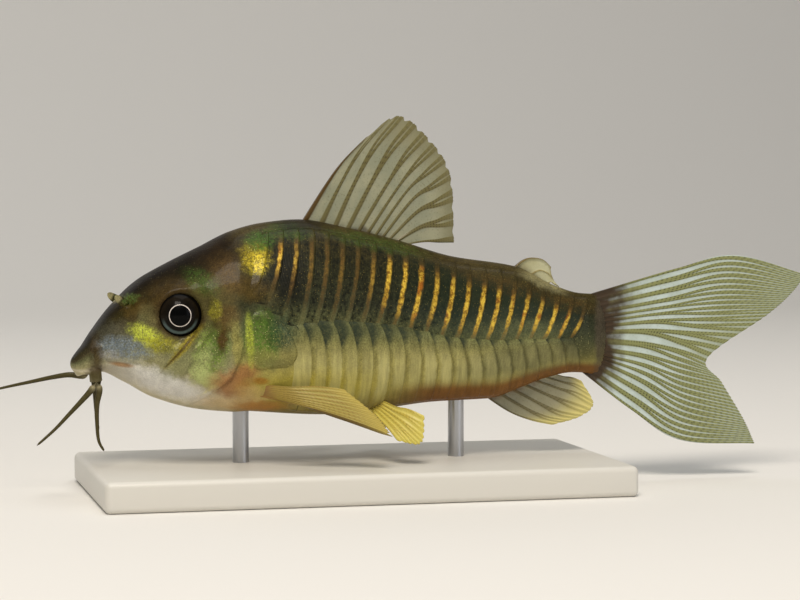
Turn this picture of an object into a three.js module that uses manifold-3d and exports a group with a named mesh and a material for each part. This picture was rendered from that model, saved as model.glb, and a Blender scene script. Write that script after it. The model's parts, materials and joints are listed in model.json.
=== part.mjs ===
// Corydoras catfish, life size, held clear of its display base by two rods.
// Millimetres, +Z up. The fish looks toward -X, and its left side faces -Y.
// The origin is the centre of the underside of the base.

import * as THREE from 'three';
import { mergeVertices } from 'three/addons/utils/BufferGeometryUtils.js';
import { ParametricGeometry } from 'three/addons/geometries/ParametricGeometry.js';
import Module from 'manifold-3d';

const wasm = await Module();
wasm.setup();

// Whole fish: the tip of the snout and the root of the tail fin

const snoutX = -27.7;
const tailRootX = 27.0;
const jointGap = 0.15;

// Body outline, as [x, height] or [x, value] along the fish

const backLine = [
  [snoutX, 13.0], [-26.8, 14.6], [-25.8, 16.1], [-23.7, 18.8], [-21.3, 21.05], [-18.2, 22.8],
  [-15.1, 24.3], [-12.0, 25.8], [-9.0, 26.6], [-5.2, 26.95], [0.0, 26.05], [5.2, 24.75],
  [10.4, 23.2], [17.2, 22.1], [21.4, 20.1], [24.2, 19.3], [tailRootX, 19.2],
];
const bellyLine = [
  [snoutX, 13.0], [-27.3, 12.3], [-26.2, 12.15], [-24.8, 12.2], [-22.5, 11.15], [-19.8, 9.65],
  [-15.1, 8.35], [-10.0, 7.9], [-2.0, 7.4], [2.1, 7.7], [8.6, 8.4], [14.3, 8.55],
  [17.2, 9.4], [20.4, 10.5], [23.2, 11.0], [tailRootX, 10.7],
];
const halfWidthLine = [
  [snoutX, 0.0], [-26.6, 1.75], [-24.5, 2.8], [-21.5, 4.3], [-17.8, 5.45], [-14.0, 6.35],
  [-10.0, 6.8], [-6.0, 6.65], [4.0, 5.5], [14.0, 3.8], [21.0, 2.5], [tailRootX, 1.5],
];
const widestLevelLine = [
  [snoutX, 0.5], [-22.0, 0.36], [-14.0, 0.38], [-4.0, 0.36], [14.0, 0.42], [tailRootX, 0.5],
];
const upperRoundnessLine = [
  [snoutX, 2.0], [-16.0, 2.15], [-6.0, 1.95], [10.0, 1.9], [tailRootX, 2.0],
];
const lowerRoundnessLine = [
  [snoutX, 2.0], [-18.0, 2.3], [-8.0, 2.7], [8.0, 2.6], [20.0, 2.2], [tailRootX, 2.0],
];

const farY = 20;
const bodyRings = 36;
const bodySides = 26;

// Cuts between the parts of the body, as [x, z] in the side view

const gillLine = [
  [-11.8, 32], [-12.2, 22.4], [-11.8, 19.3], [-11.6, 16.5], [-11.9, 14.1], [-12.9, 11.9], [-14.6, 10.4],
  [-15.8, 4],
];
const gillCoverFront = [
  [-10, 20.2], [-13.6, 19.4], [-15.6, 17.4], [-16.6, 14.6], [-18.3, 11.6], [-17.6, 10.6], [-15.6, 9.2],
  [-10, 9.2],
];
const gillCoverInnerFace = 3.1;
const tailStemX = 22.0;

// Eyes

const eyeRadius = 2.45;
const eyeCentre = new THREE.Vector3(-17.8, 3.25, 17.95);

// Mouth and feelers

const lipCentre = new THREE.Vector3(-26.0, 0, 12.05);
const lipHalfLength = 0.95;
const lipHalfWidth = 1.45;
const lipThickness = 0.62;
const feelerBaseRadius = 0.36;
const feelerTipRadius = 0.26;

// Fins

const finThickness = 0.5;
const rayRelief = 0.12;

// Stand

const baseLength = 52;
const baseWidth = 26;
const baseHeight = 3;
const baseCorner = 8;
const baseEdge = 0.6;
const rodRadius = 0.8;
const rodSpacing = 22;
const rodSocketDepth = 1.6;
const rodSocketRadius = 1.0;

// Smooth curve through [x, value] points, with no overshoot between them.
// Distance from the snout is taken as its square root, which rounds the snout.

function smoothLine(points) {
  const along = (x) => Math.sqrt(Math.max(x - snoutX, 0));
  const t = points.map(([x]) => along(x));
  const value = points.map((point) => point[1]);
  const slope = value.slice(1).map((next, i) => (next - value[i]) / (t[i + 1] - t[i]));
  const tangent = value.map((_, i) => {
    if (i === 0) return slope[0];
    if (i === value.length - 1) return slope[i - 1];
    if (slope[i - 1] * slope[i] <= 0) return 0;
    return (2 * slope[i - 1] * slope[i]) / (slope[i - 1] + slope[i]);
  });
  return (x) => {
    const at = along(x);
    let i = 0;
    while (i < t.length - 2 && at > t[i + 1]) i += 1;
    const step = t[i + 1] - t[i];
    const s = THREE.MathUtils.clamp((at - t[i]) / step, 0, 1);
    const rise = s * s * (3 - 2 * s);
    const leave = s * (1 - s) * (1 - s) * step * tangent[i];
    const arrive = s * s * (1 - s) * step * tangent[i + 1];
    return value[i] + (value[i + 1] - value[i]) * rise + leave - arrive;
  };
}

const backHeight = smoothLine(backLine);
const bellyHeight = smoothLine(bellyLine);
const halfWidth = smoothLine(halfWidthLine);
const widestLevel = smoothLine(widestLevelLine);
const upperRoundness = smoothLine(upperRoundnessLine);
const lowerRoundness = smoothLine(lowerRoundnessLine);

function bentPower(value, roundness) {
  return Math.sign(value) * Math.abs(value) ** (2 / roundness);
}

// Point on the body's surface: angle 0 is the right flank and a quarter turn is the back

function bodyPoint(x, angle, grow) {
  const bottom = bellyHeight(x) - grow;
  const top = backHeight(x) + grow;
  const level = bottom + (top - bottom) * widestLevel(x);
  const rising = Math.sin(angle) >= 0;
  const roundness = rising ? upperRoundness(x) : lowerRoundness(x);
  const reach = rising ? top - level : level - bottom;
  return new THREE.Vector3(
    x,
    (halfWidth(x) + grow) * bentPower(Math.cos(angle), roundness),
    level + reach * bentPower(Math.sin(angle), roundness),
  );
}

// Closed mesh with shared corners, no flattened triangles, and its faces outward

function weld(geometry) {
  geometry.deleteAttribute('normal');
  geometry.deleteAttribute('uv');
  const merged = mergeVertices(geometry, 1e-4);
  const index = merged.index.array;
  const corner = (i) => new THREE.Vector3().fromBufferAttribute(merged.attributes.position, i);
  const kept = [];
  let volume = 0;
  for (let i = 0; i < index.length; i += 3) {
    const [a, b, c] = [index[i], index[i + 1], index[i + 2]];
    if (a !== b && b !== c && c !== a) {
      kept.push(a, b, c);
      volume += corner(a).dot(corner(b).cross(corner(c))) / 6;
    }
  }
  merged.setIndex(volume < 0 ? kept.reverse() : kept);
  return merged;
}

function solidFrom(geometry) {
  const welded = weld(geometry);
  return new wasm.Manifold(new wasm.Mesh({
    numProp: 3,
    vertProperties: Float32Array.from(welded.attributes.position.array),
    triVerts: Uint32Array.from(welded.index.array),
  }));
}

function geometryFrom(solid) {
  const mesh = solid.getMesh();
  const geometry = new THREE.BufferGeometry();
  geometry.setAttribute('position', new THREE.BufferAttribute(mesh.vertProperties, 3));
  geometry.setIndex(new THREE.BufferAttribute(mesh.triVerts, 1));
  const faceted = geometry.toNonIndexed();
  faceted.computeVertexNormals();
  return faceted;
}

// Body from the snout to the root of the tail fin, larger all round by grow

function bodySolid(grow) {
  const reach = Math.sqrt(tailRootX - snoutX);
  const place = (u, v, target) => {
    const ring = Math.round(v * (bodyRings + 1));
    const s = Math.min(ring / bodyRings, 1);
    const x = snoutX + (s * reach) ** 2;
    const point = bodyPoint(x, -u * Math.PI * 2, grow);
    if (ring === 0) point.set(x - grow, 0, bellyHeight(x));
    if (ring > bodyRings) point.set(x + grow, 0, (bellyHeight(x) + backHeight(x)) / 2);
    if (ring === bodyRings) point.x += grow;
    target.copy(point);
  };
  return solidFrom(new ParametricGeometry(place, bodySides, bodyRings + 1));
}

// Prism through the body from an outline in the side view, between two y values

function sidePrism(outline, yFrom, yTo) {
  const geometry = new THREE.ExtrudeGeometry(outline, { depth: yTo - yFrom, bevelEnabled: false });
  geometry.rotateX(Math.PI / 2);
  geometry.translate(0, yTo, 0);
  return solidFrom(geometry);
}

function outlineAlong(path, shiftX, farX, steps) {
  const curve = new THREE.SplineCurve(path.map(([x, z]) => new THREE.Vector2(x + shiftX, z)));
  const points = curve.getPoints(steps);
  const last = points[points.length - 1];
  return new THREE.Shape([...points, new THREE.Vector2(farX, last.y), new THREE.Vector2(farX, points[0].y)]);
}

// Tube that tapers along a curve, with closed ends

function taperedTube(points, startRadius, endRadius, along = 8, around = 7) {
  const curve = new THREE.CatmullRomCurve3(points.map((point) => new THREE.Vector3(...point)));
  const frames = curve.computeFrenetFrames(along);
  const place = (u, v, target) => {
    const ring = Math.round(v * (along + 2)) - 1;
    const at = THREE.MathUtils.clamp(ring, 0, along);
    const radius = ring === at ? THREE.MathUtils.lerp(startRadius, endRadius, at / along) : 0;
    const turn = -u * Math.PI * 2;
    target.copy(curve.getPointAt(at / along));
    target.addScaledVector(frames.normals[at], Math.cos(turn) * radius);
    target.addScaledVector(frames.binormals[at], Math.sin(turn) * radius);
    if (ring > along) target.addScaledVector(frames.tangents[at], endRadius * 0.6);
  };
  return solidFrom(new ParametricGeometry(place, around, along + 2));
}

// Fin plate spread over guide rays, each a list of points from root to rim.
// The plate is ridged, one ridge for each ray, and its first ray may be a stout spine.

function finSolid(guides, { rays, rows, spine = finThickness }) {
  const rayCurves = guides.map((ray) => new THREE.CatmullRomCurve3(ray.map((p) => new THREE.Vector3(...p))));
  const columns = rays * 2;
  const surface = (a, v) => {
    const crossing = rayCurves.map((ray) => ray.getPoint(v));
    return new THREE.CatmullRomCurve3(crossing, false, 'catmullrom', 0.5).getPoint(a);
  };
  const plate = (a, v) => {
    const nudge = 0.01;
    const a0 = Math.max(a - nudge, 0);
    const a1 = Math.min(a + nudge, 1);
    const v0 = Math.max(v - nudge, 0);
    const v1 = Math.min(v + nudge, 1);
    const across = surface(a1, v).sub(surface(a0, v));
    const outward = surface(a, v1).sub(surface(a, v0));
    return { point: surface(a, v), normal: across.cross(outward).normalize() };
  };
  const place = (u, w, target) => {
    const column = Math.round(u * (2 * columns + 2)) % (2 * columns + 2);
    const front = column <= columns;
    const i = front ? column : 2 * columns + 1 - column;
    const row = THREE.MathUtils.clamp(Math.round(w * (rows + 2)) - 1, 0, rows);
    const closing = w < 1e-6 || w > 1 - 1e-6;
    const { point, normal } = plate(i / columns, row / rows);
    const ridge = i % 2 === 0 ? rayRelief : 0;
    const stout = i < 2 ? (spine - finThickness) * (1 - 0.5 * (row / rows)) : 0;
    const half = closing ? 0 : (finThickness + ridge + stout) / 2;
    target.copy(point).addScaledVector(normal, front ? half : -half);
  };
  return solidFrom(new ParametricGeometry(place, 2 * columns + 2, rows + 2));
}

// Guide rays as [x, y, z]; those of the paired fins are the left side's

const dorsalRays = [
  [[-5.3, 0, 25.9], [-2.5, 0, 30.2], [-0.7, 0, 32.6], [1.7, 0, 35.0]],
  [[-2.2, 0, 25.0], [0.1, 0, 30.1], [2.3, 0, 34.0], [5.0, 0, 37.2]],
  [[0.7, 0, 24.8], [4.1, 0, 30.1], [6.0, 0, 32.8], [8.1, 0, 35.0]],
  [[2.8, 0, 24.3], [6.4, 0, 28.7], [8.5, 0, 30.1], [10.4, 0, 31.3]],
  [[4.6, 0, 24.1], [7.5, 0, 24.55], [9.3, 0, 24.5], [10.8, 0, 24.5]],
];
const adiposeRays = [
  [[16.6, 0, 21.6], [18.3, 0, 22.8], [19.9, 0, 22.8], [21.0, 0, 21.95]],
  [[18.2, 0, 20.8], [19.6, 0, 21.6], [20.5, 0, 21.4], [21.2, 0, 20.8]],
  [[20.0, 0, 19.8], [20.9, 0, 20.4], [21.3, 0, 20.2], [21.9, 0, 19.9]],
];
const tailUpperRays = [
  [[26.2, 0, 18.9], [34.9, 0, 21.7], [40.9, 0, 23.0], [48.9, 0, 20.9]],
  [[26.0, 0, 17.2], [33.3, 0, 18.4], [39.6, 0, 19.4], [47.2, 0, 18.9]],
  [[26.0, 0, 16.0], [32.4, 0, 16.6], [38.0, 0, 16.6], [44.5, 0, 16.7]],
  [[26.0, 0, 15.1], [31.1, 0, 14.75], [35.0, 0, 13.75], [38.0, 0, 12.6]],
];
const tailLowerRays = [
  [[26.0, 0, 14.7], [31.1, 0, 14.35], [34.9, 0, 13.35], [37.9, 0, 12.2]],
  [[26.0, 0, 13.3], [31.0, 0, 12.3], [35.0, 0, 10.9], [39.6, 0, 9.8]],
  [[26.0, 0, 12.4], [30.8, 0, 10.2], [35.4, 0, 7.6], [42.0, 0, 6.0]],
  [[25.4, 0, 11.2], [29.8, 0, 7.2], [35.0, 0, 3.95], [43.3, 0, 3.35]],
];
const analRays = [
  [[13.4, 0, 9.4], [16.4, 0, 7.4], [18.8, 0, 6.4], [21.2, 0, 5.85]],
  [[15.8, 0, 10.2], [19.3, 0, 8.35], [21.8, 0, 7.1], [24.1, 0, 6.6]],
  [[18.0, 0, 10.9], [21.5, 0, 9.7], [23.6, 0, 9.0], [25.6, 0, 7.9]],
  [[20.0, 0, 11.5], [22.3, 0, 10.85], [23.3, 0, 10.7], [24.3, 0, 10.3]],
];
const pectoralRays = [
  [[-10.4, -4.6, 10.2], [-6.2, -8.2, 9.1], [-2.2, -9.8, 7.8], [1.8, -10.6, 6.3]],
  [[-10.3, -5.0, 10.6], [-6.6, -7.8, 9.9], [-2.9, -8.8, 9.1], [0.6, -9.3, 8.2]],
  [[-10.2, -5.4, 11.1], [-7.3, -7.3, 11.0], [-4.9, -7.8, 11.0], [-2.3, -8.1, 10.7]],
];
const pelvicRays = [
  [[0.9, -2.0, 9.0], [1.9, -4.2, 7.5], [2.6, -5.6, 6.5], [3.3, -6.6, 5.4]],
  [[1.4, -2.7, 9.2], [3.0, -4.9, 7.8], [4.1, -6.3, 6.7], [5.5, -7.4, 5.2]],
  [[1.9, -3.3, 9.5], [3.4, -5.0, 8.7], [4.7, -6.0, 8.4], [6.0, -6.8, 7.8]],
];
const nostrilFlapRays = [
  [[-22.9, -1.7, 17.7], [-23.6, -2.5, 18.6], [-24.0, -2.8, 19.0]],
  [[-22.1, -1.7, 18.0], [-22.7, -2.5, 19.1], [-23.1, -2.8, 19.6]],
];

// Feelers: the left pair, and the right pair in its own pose

const feelerPaths = {
  barbel_upper_left: [
    [-25.6, -2.0, 11.6], [-25.7, -2.1, 10.9], [-26.4, -2.2, 10.1], [-27.8, -2.5, 8.7], [-29.5, -2.8, 7.0],
    [-31.3, -3.2, 5.5],
  ],
  barbel_lower_left: [
    [-25.2, -2.0, 11.6], [-25.3, -2.1, 10.6], [-25.5, -2.2, 9.2], [-25.4, -2.3, 7.3], [-25.2, -2.5, 5.3],
    [-24.8, -2.7, 4.75],
  ],
  barbel_upper_right: [
    [-25.8, 1.9, 11.9], [-27.0, 2.4, 11.9], [-29.8, 3.2, 11.4], [-32.2, 4.0, 10.8], [-34.7, 4.6, 10.25],
  ],
  barbel_lower_right: [
    [-25.5, 1.9, 11.8], [-25.3, 2.2, 11.0], [-25.0, 2.3, 9.6], [-24.9, 2.4, 7.6], [-24.7, 2.5, 6.3],
  ],
  lip_barbel_left: [[-24.9, -0.7, 11.7], [-24.7, -0.9, 11.0], [-24.1, -1.0, 10.2]],
  lip_barbel_right: [[-24.9, 0.7, 11.7], [-24.7, 0.9, 11.0], [-24.1, 1.0, 10.2]],
};

// Lips round the mouth, with a fleshy lobe at each corner that carries two feelers

function mouthSolid(grow) {
  const ring = new THREE.TorusGeometry(1, lipThickness + grow, 6, 14);
  const position = ring.attributes.position;
  for (let i = 0; i < position.count; i += 1) {
    const turn = Math.atan2(position.getY(i), position.getX(i));
    const away = Math.hypot(position.getX(i), position.getY(i)) - 1;
    position.setXYZ(
      i,
      lipCentre.x + Math.cos(turn) * (lipHalfLength + away),
      lipCentre.y + Math.sin(turn) * (lipHalfWidth + away),
      lipCentre.z + position.getZ(i) * 0.9,
    );
  }
  const lobe = (side) => taperedTube(
    [[-25.2, side * 2.0, 14.2], [-25.35, side * 2.1, 12.9], [-25.45, side * 2.0, 11.4]],
    0.62 + grow,
    0.66 + grow,
    6,
  );
  return solidFrom(ring).add(lobe(-1)).add(lobe(1));
}

// Colours and finishes

const finishes = {
  head: { color: 0x3a3418, roughness: 0.35, metalness: 0.1 },
  cover: { color: 0x5f7a35, roughness: 0.3, metalness: 0.35 },
  trunk: { color: 0x6b5a2a, roughness: 0.3, metalness: 0.25 },
  stem: { color: 0x5c5238, roughness: 0.35, metalness: 0.2 },
  lips: { color: 0x5b5236, roughness: 0.4, metalness: 0 },
  feeler: { color: 0x3d3823, roughness: 0.4, metalness: 0 },
  eye: { color: 0x0c0c0c, roughness: 0.08, metalness: 0 },
  fin: { color: 0x9a9b70, roughness: 0.4, metalness: 0 },
  yellowFin: { color: 0xc0aa58, roughness: 0.4, metalness: 0 },
  lacquer: { color: 0xe9e6de, roughness: 0.35, metalness: 0 },
  steel: { color: 0xb9bcc0, roughness: 0.3, metalness: 1 },
};

const fish = new THREE.Group();

function addPart(name, solid, finish) {
  const mesh = new THREE.Mesh(geometryFrom(solid), new THREE.MeshStandardMaterial(finishes[finish]));
  mesh.name = name;
  fish.add(mesh);
}

// Shapes that the parts are cut with

const body = bodySolid(0);
const bodyClearance = bodySolid(jointGap);
const mouth = mouthSolid(0);
const mouthClearance = mouthSolid(jointGap);
const beforeGill = sidePrism(outlineAlong(gillLine, 0, -40, 12), -farY, farY);
const behindGill = sidePrism(outlineAlong(gillLine, jointGap, 40, 12), -farY, farY);
const stemFrom = (x) => {
  const [farX, farZ] = [x + 30, 40];
  return new THREE.Shape([[x, 0], [farX, 0], [farX, farZ], [x, farZ]].map((p) => new THREE.Vector2(...p)));
};

const coverCurve = new THREE.SplineCurve(gillCoverFront.map(([x, z]) => new THREE.Vector2(x, z)));
const coverOutline = new THREE.Shape(coverCurve.getPoints(12));
const coverClearOutline = new THREE.Shape(
  new THREE.SplineCurve(gillCoverFront.map(([x, z]) => {
    const outward = new THREE.Vector2(x + 13, z - 14.4).setLength(jointGap * 1.4);
    return new THREE.Vector2(x + outward.x, z + outward.y);
  })).getPoints(12),
);

function eyeball(side, radius) {
  const ball = new THREE.SphereGeometry(radius, 14, 9);
  ball.translate(eyeCentre.x, side * eyeCentre.y, eyeCentre.z);
  return solidFrom(ball);
}

// Head, gill covers and eyes

let head = body.intersect(beforeGill).subtract(mouthClearance);
for (const side of [-1, 1]) {
  const innerY = gillCoverInnerFace - jointGap;
  const [yFrom, yTo] = side < 0 ? [-farY, -innerY] : [innerY, farY];
  const pocket = sidePrism(coverClearOutline, yFrom, yTo);
  head = head.subtract(pocket).subtract(eyeball(side, eyeRadius + jointGap));
}
addPart('head', head, 'head');

for (const [name, side] of [['left', -1], ['right', 1]]) {
  const [yFrom, yTo] = side < 0 ? [-farY, -gillCoverInnerFace] : [gillCoverInnerFace, farY];
  const slab = sidePrism(coverOutline, yFrom, yTo);
  const cover = body.intersect(beforeGill).intersect(slab).subtract(eyeball(side, eyeRadius + jointGap));
  addPart(`gill_cover_${name}`, cover, 'cover');
  addPart(`eye_${name}`, eyeball(side, eyeRadius), 'eye');
}

// Trunk and tail stem

const stem = sidePrism(stemFrom(tailStemX), -farY, farY);
const stemClearance = sidePrism(stemFrom(tailStemX - jointGap), -farY, farY);
addPart('trunk', body.intersect(behindGill).subtract(stemClearance), 'trunk');
addPart('tail_stem', body.intersect(stem), 'stem');

// Mouth and feelers

addPart('mouth', mouth, 'lips');
const feelers = [];
for (const [name, path] of Object.entries(feelerPaths)) {
  let feeler = taperedTube(path, feelerBaseRadius, feelerTipRadius);
  feeler = feeler.subtract(mouthClearance).subtract(bodyClearance);
  for (const earlier of feelers) feeler = feeler.subtract(earlier);
  feelers.push(taperedTube(path, feelerBaseRadius + jointGap, feelerTipRadius + jointGap));
  addPart(name, feeler, 'feeler');
}

// Fins and nostril flaps

function addFin(name, guides, options, finish) {
  addPart(name, finSolid(guides, options).subtract(bodyClearance), finish);
}

addFin('dorsal_fin', dorsalRays, { rays: 9, rows: 6, spine: 0.9 }, 'fin');
addFin('adipose_fin', adiposeRays, { rays: 2, rows: 4, spine: 0.7 }, 'yellowFin');
addFin('caudal_fin_upper', tailUpperRays, { rays: 7, rows: 7 }, 'fin');
addFin('caudal_fin_lower', tailLowerRays, { rays: 7, rows: 7 }, 'fin');
addFin('anal_fin', analRays, { rays: 6, rows: 5 }, 'fin');

const pairedFins = {
  pectoral_fin: [pectoralRays, { rays: 6, rows: 5, spine: 0.9 }],
  pelvic_fin: [pelvicRays, { rays: 5, rows: 5 }],
  nostril_flap: [nostrilFlapRays, { rays: 1, rows: 2 }],
};
for (const [name, [guides, options]] of Object.entries(pairedFins)) {
  addFin(`${name}_left`, guides, options, 'yellowFin');
  const solid = finSolid(guides, options).mirror([0, 1, 0]);
  addPart(`${name}_right`, solid.subtract(bodyClearance), 'yellowFin');
}

// Display stand

function roundedPlate(length, width, corner) {
  const shape = new THREE.Shape();
  const [x, y] = [length / 2, width / 2];
  shape.moveTo(-x + corner, -y);
  shape.lineTo(x - corner, -y);
  shape.absarc(x - corner, -y + corner, corner, -Math.PI / 2, 0);
  shape.absarc(x - corner, y - corner, corner, 0, Math.PI / 2);
  shape.absarc(-x + corner, y - corner, corner, Math.PI / 2, Math.PI);
  shape.absarc(-x + corner, -y + corner, corner, Math.PI, Math.PI * 1.5);
  return shape;
}

function rod(x, radius, from, to) {
  const cylinder = new THREE.CylinderGeometry(radius, radius, to - from, 12);
  cylinder.rotateX(Math.PI / 2);
  cylinder.translate(x, 0, (from + to) / 2);
  return solidFrom(cylinder);
}

const plateOutline = roundedPlate(baseLength - 2 * baseEdge, baseWidth - 2 * baseEdge, baseCorner);
const plate = new THREE.ExtrudeGeometry(plateOutline, {
  depth: baseHeight - 2 * baseEdge,
  bevelThickness: baseEdge,
  bevelSize: baseEdge,
  bevelSegments: 2,
  curveSegments: 4,
});
plate.translate(0, 0, baseEdge);

let base = solidFrom(plate);
const socketFloor = baseHeight - rodSocketDepth;
for (const [name, x] of [['front', -rodSpacing / 2], ['rear', rodSpacing / 2]]) {
  base = base.subtract(rod(x, rodSocketRadius, socketFloor, baseHeight + 1));
  const rodTop = bellyHeight(x) + 2;
  const post = rod(x, rodRadius, socketFloor + jointGap, rodTop);
  addPart(`stand_rod_${name}`, post.subtract(bodyClearance), 'steel');
}
addPart('stand_base', base, 'lacquer');

export default fish;
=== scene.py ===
import json
import math
import random

import bmesh
import bpy
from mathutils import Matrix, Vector

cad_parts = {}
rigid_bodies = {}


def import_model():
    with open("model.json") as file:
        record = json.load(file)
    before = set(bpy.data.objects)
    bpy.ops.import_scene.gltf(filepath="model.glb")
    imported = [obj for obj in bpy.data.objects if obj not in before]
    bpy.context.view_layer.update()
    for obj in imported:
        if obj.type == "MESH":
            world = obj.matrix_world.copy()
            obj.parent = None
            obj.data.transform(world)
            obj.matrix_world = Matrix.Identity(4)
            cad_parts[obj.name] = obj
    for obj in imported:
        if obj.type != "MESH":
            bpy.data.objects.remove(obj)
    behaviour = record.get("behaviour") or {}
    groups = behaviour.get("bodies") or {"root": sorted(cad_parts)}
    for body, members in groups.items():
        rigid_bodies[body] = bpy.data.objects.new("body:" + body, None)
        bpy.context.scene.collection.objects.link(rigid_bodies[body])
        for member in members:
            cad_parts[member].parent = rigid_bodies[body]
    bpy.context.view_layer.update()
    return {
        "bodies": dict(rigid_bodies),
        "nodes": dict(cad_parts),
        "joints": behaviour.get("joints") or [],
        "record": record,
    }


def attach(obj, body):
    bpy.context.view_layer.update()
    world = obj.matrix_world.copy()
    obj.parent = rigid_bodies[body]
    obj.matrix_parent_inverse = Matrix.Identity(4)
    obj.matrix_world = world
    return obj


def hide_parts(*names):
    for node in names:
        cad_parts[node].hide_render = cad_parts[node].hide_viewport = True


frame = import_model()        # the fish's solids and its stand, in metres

bpy.ops.object.select_all(action="DESELECT")
mm = 0.001


# small helpers

def hexColour(code):
    channels = [int(code[i:i + 2], 16) / 255 for i in (1, 3, 5)]
    linear = [c / 12.92 if c <= 0.04045 else ((c + 0.055) / 1.055) ** 2.4 for c in channels]
    return (*linear, 1.0)


def addNode(tree, kind, settings=None, links=None):
    # a setting is a socket, by name or number, or a property of the node
    node = tree.nodes.new(kind)
    for name, value in (settings or {}).items():
        if isinstance(name, int) or name in node.inputs:
            node.inputs[name].default_value = value
        else:
            setattr(node, name, value)
    for name, source in (links or {}).items():
        tree.links.new(source, node.inputs[name])
    return node


def attribute(tree, name):
    return addNode(tree, "ShaderNodeAttribute", {"attribute_name": name}).outputs["Fac"]


def objectPlace(tree):
    return addNode(tree, "ShaderNodeTexCoord").outputs["Object"]


def noise(tree, place, scale, detail=3.0, roughness=0.5, output="Fac"):
    settings = {"Scale": scale, "Detail": detail, "Roughness": roughness}
    return addNode(tree, "ShaderNodeTexNoise", settings, {"Vector": place}).outputs[output]


def calc(tree, operation, *values):
    # arithmetic on sockets and plain numbers
    node = addNode(tree, "ShaderNodeMath", {"operation": operation})
    for socket, value in zip(node.inputs, values):
        if isinstance(value, (int, float)):
            socket.default_value = value
        else:
            tree.links.new(value, socket)
    return node.outputs[0]


def product(tree, *values):
    result = values[0]
    for value in values[1:]:
        result = calc(tree, "MULTIPLY", result, value)
    return result


def ranged(tree, value, low, high, start=0.0, end=1.0, kind="LINEAR"):
    settings = {"interpolation_type": kind, "From Min": low, "From Max": high,
                "To Min": start, "To Max": end}
    return addNode(tree, "ShaderNodeMapRange", settings, {"Value": value}).outputs[0]


def eased(tree, value, low, high, start=0.0, end=1.0):
    return ranged(tree, value, low, high, start, end, "SMOOTHSTEP")


def fading(tree, value, low, high):
    return eased(tree, value, low, high, 1.0, 0.0)


def mixed(tree, mask, under, over):
    # each colour is a socket or a hex code
    node = addNode(tree, "ShaderNodeMix", {"data_type": "RGBA"}, {0: mask})
    for number, colour in ((6, under), (7, over)):
        if isinstance(colour, str):
            node.inputs[number].default_value = hexColour(colour)
        else:
            tree.links.new(colour, node.inputs[number])
    return node.outputs[2]


def scaled(tree, colour, level):
    settings, links = {"operation": "MULTIPLY"}, {0: colour, 1: level}
    return addNode(tree, "ShaderNodeVectorMath", settings, links).outputs[0]


def colourRamp(tree, value, stops):
    node = addNode(tree, "ShaderNodeValToRGB", None, {"Fac": value})
    band = node.color_ramp
    for element, (position, code) in zip(band.elements, (stops[0], stops[-1])):
        element.position = position
        element.color = hexColour(code)
    for position, code in stops[1:-1]:
        band.elements.new(position).color = hexColour(code)
    return node.outputs["Color"]


def bump(tree, height, strength, depth, under=None):
    # depth in metres, over another bump if one is given
    links = {"Height": height} if under is None else {"Height": height, "Normal": under}
    return addNode(tree, "ShaderNodeBump", {"Strength": strength, "Distance": depth}, links).outputs[0]


def newMaterial(name, settings):
    material = bpy.data.materials.new(name)
    material.use_nodes = True
    shader = material.node_tree.nodes["Principled BSDF"]
    for socket, value in settings.items():
        shader.inputs[socket].default_value = value
    return material, material.node_tree, shader


def wire(tree, shader, sources):
    for socket, source in sources.items():
        tree.links.new(source, shader.inputs[socket])


def smoothStep(low, high, value):
    t = min(max((value - low) / (high - low), 0.0), 1.0)
    return t * t * (3 - 2 * t)


def hump(value, centre, width):
    return math.exp(-((value - centre) / width) ** 2)


def curvePoint(points, t):
    # smooth curve through a list of vectors, t from 0 to 1
    spans = len(points) - 1
    place = min(max(t, 0.0), 1.0) * spans
    i = min(int(place), spans - 1)
    s = place - i
    p1, p2 = points[i], points[i + 1]
    p0 = points[i - 1] if i > 0 else p1 * 2 - p2
    p3 = points[i + 2] if i + 2 <= spans else p2 * 2 - p1
    a = p1 * 2
    b = p2 - p0
    c = p0 * 2 - p1 * 5 + p2 * 4 - p3
    d = p1 * 3 - p0 - p2 * 3 + p3
    return (a + b * s + c * s * s + d * s ** 3) * 0.5


def activate(piece):
    bpy.ops.object.select_all(action="DESELECT")
    piece.select_set(True)
    bpy.context.view_layer.objects.active = piece


def finishPiece(piece, material, nodes):
    # coloured, riding on the model and standing for its solids
    activate(piece)
    piece.data.materials.clear()
    piece.data.materials.append(material)
    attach(piece, "root")
    if nodes:
        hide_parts(*nodes)


def addAttribute(mesh, name, values):
    layer = mesh.attributes.new(name, "FLOAT", "POINT")
    layer.data.foreach_set("value", values)


# camera, floor and lights, before the model

viewpoint = {"azimuth": -14, "elevation": 3, "distance": 240, "target": (5.2, 0, 18.8), "lens": 108}


def makeCamera():
    turn, lift = math.radians(viewpoint["azimuth"]), math.radians(viewpoint["elevation"])
    back = Vector((math.sin(turn) * math.cos(lift), -math.cos(turn) * math.cos(lift), math.sin(lift)))
    place = (Vector(viewpoint["target"]) + back * viewpoint["distance"]) * mm
    bpy.ops.object.camera_add(location=place, rotation=(math.pi / 2 - lift, 0, turn))
    camera = bpy.context.object
    camera.name = "photoCamera"
    camera.data.lens = viewpoint["lens"]
    camera.data.clip_start = 0.01
    bpy.context.scene.camera = camera


stage = {"width": 1.6, "front": -0.5, "back": 0.55, "height": 0.9, "curve": 0.25, "paper": "#e9e7e2"}


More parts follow.
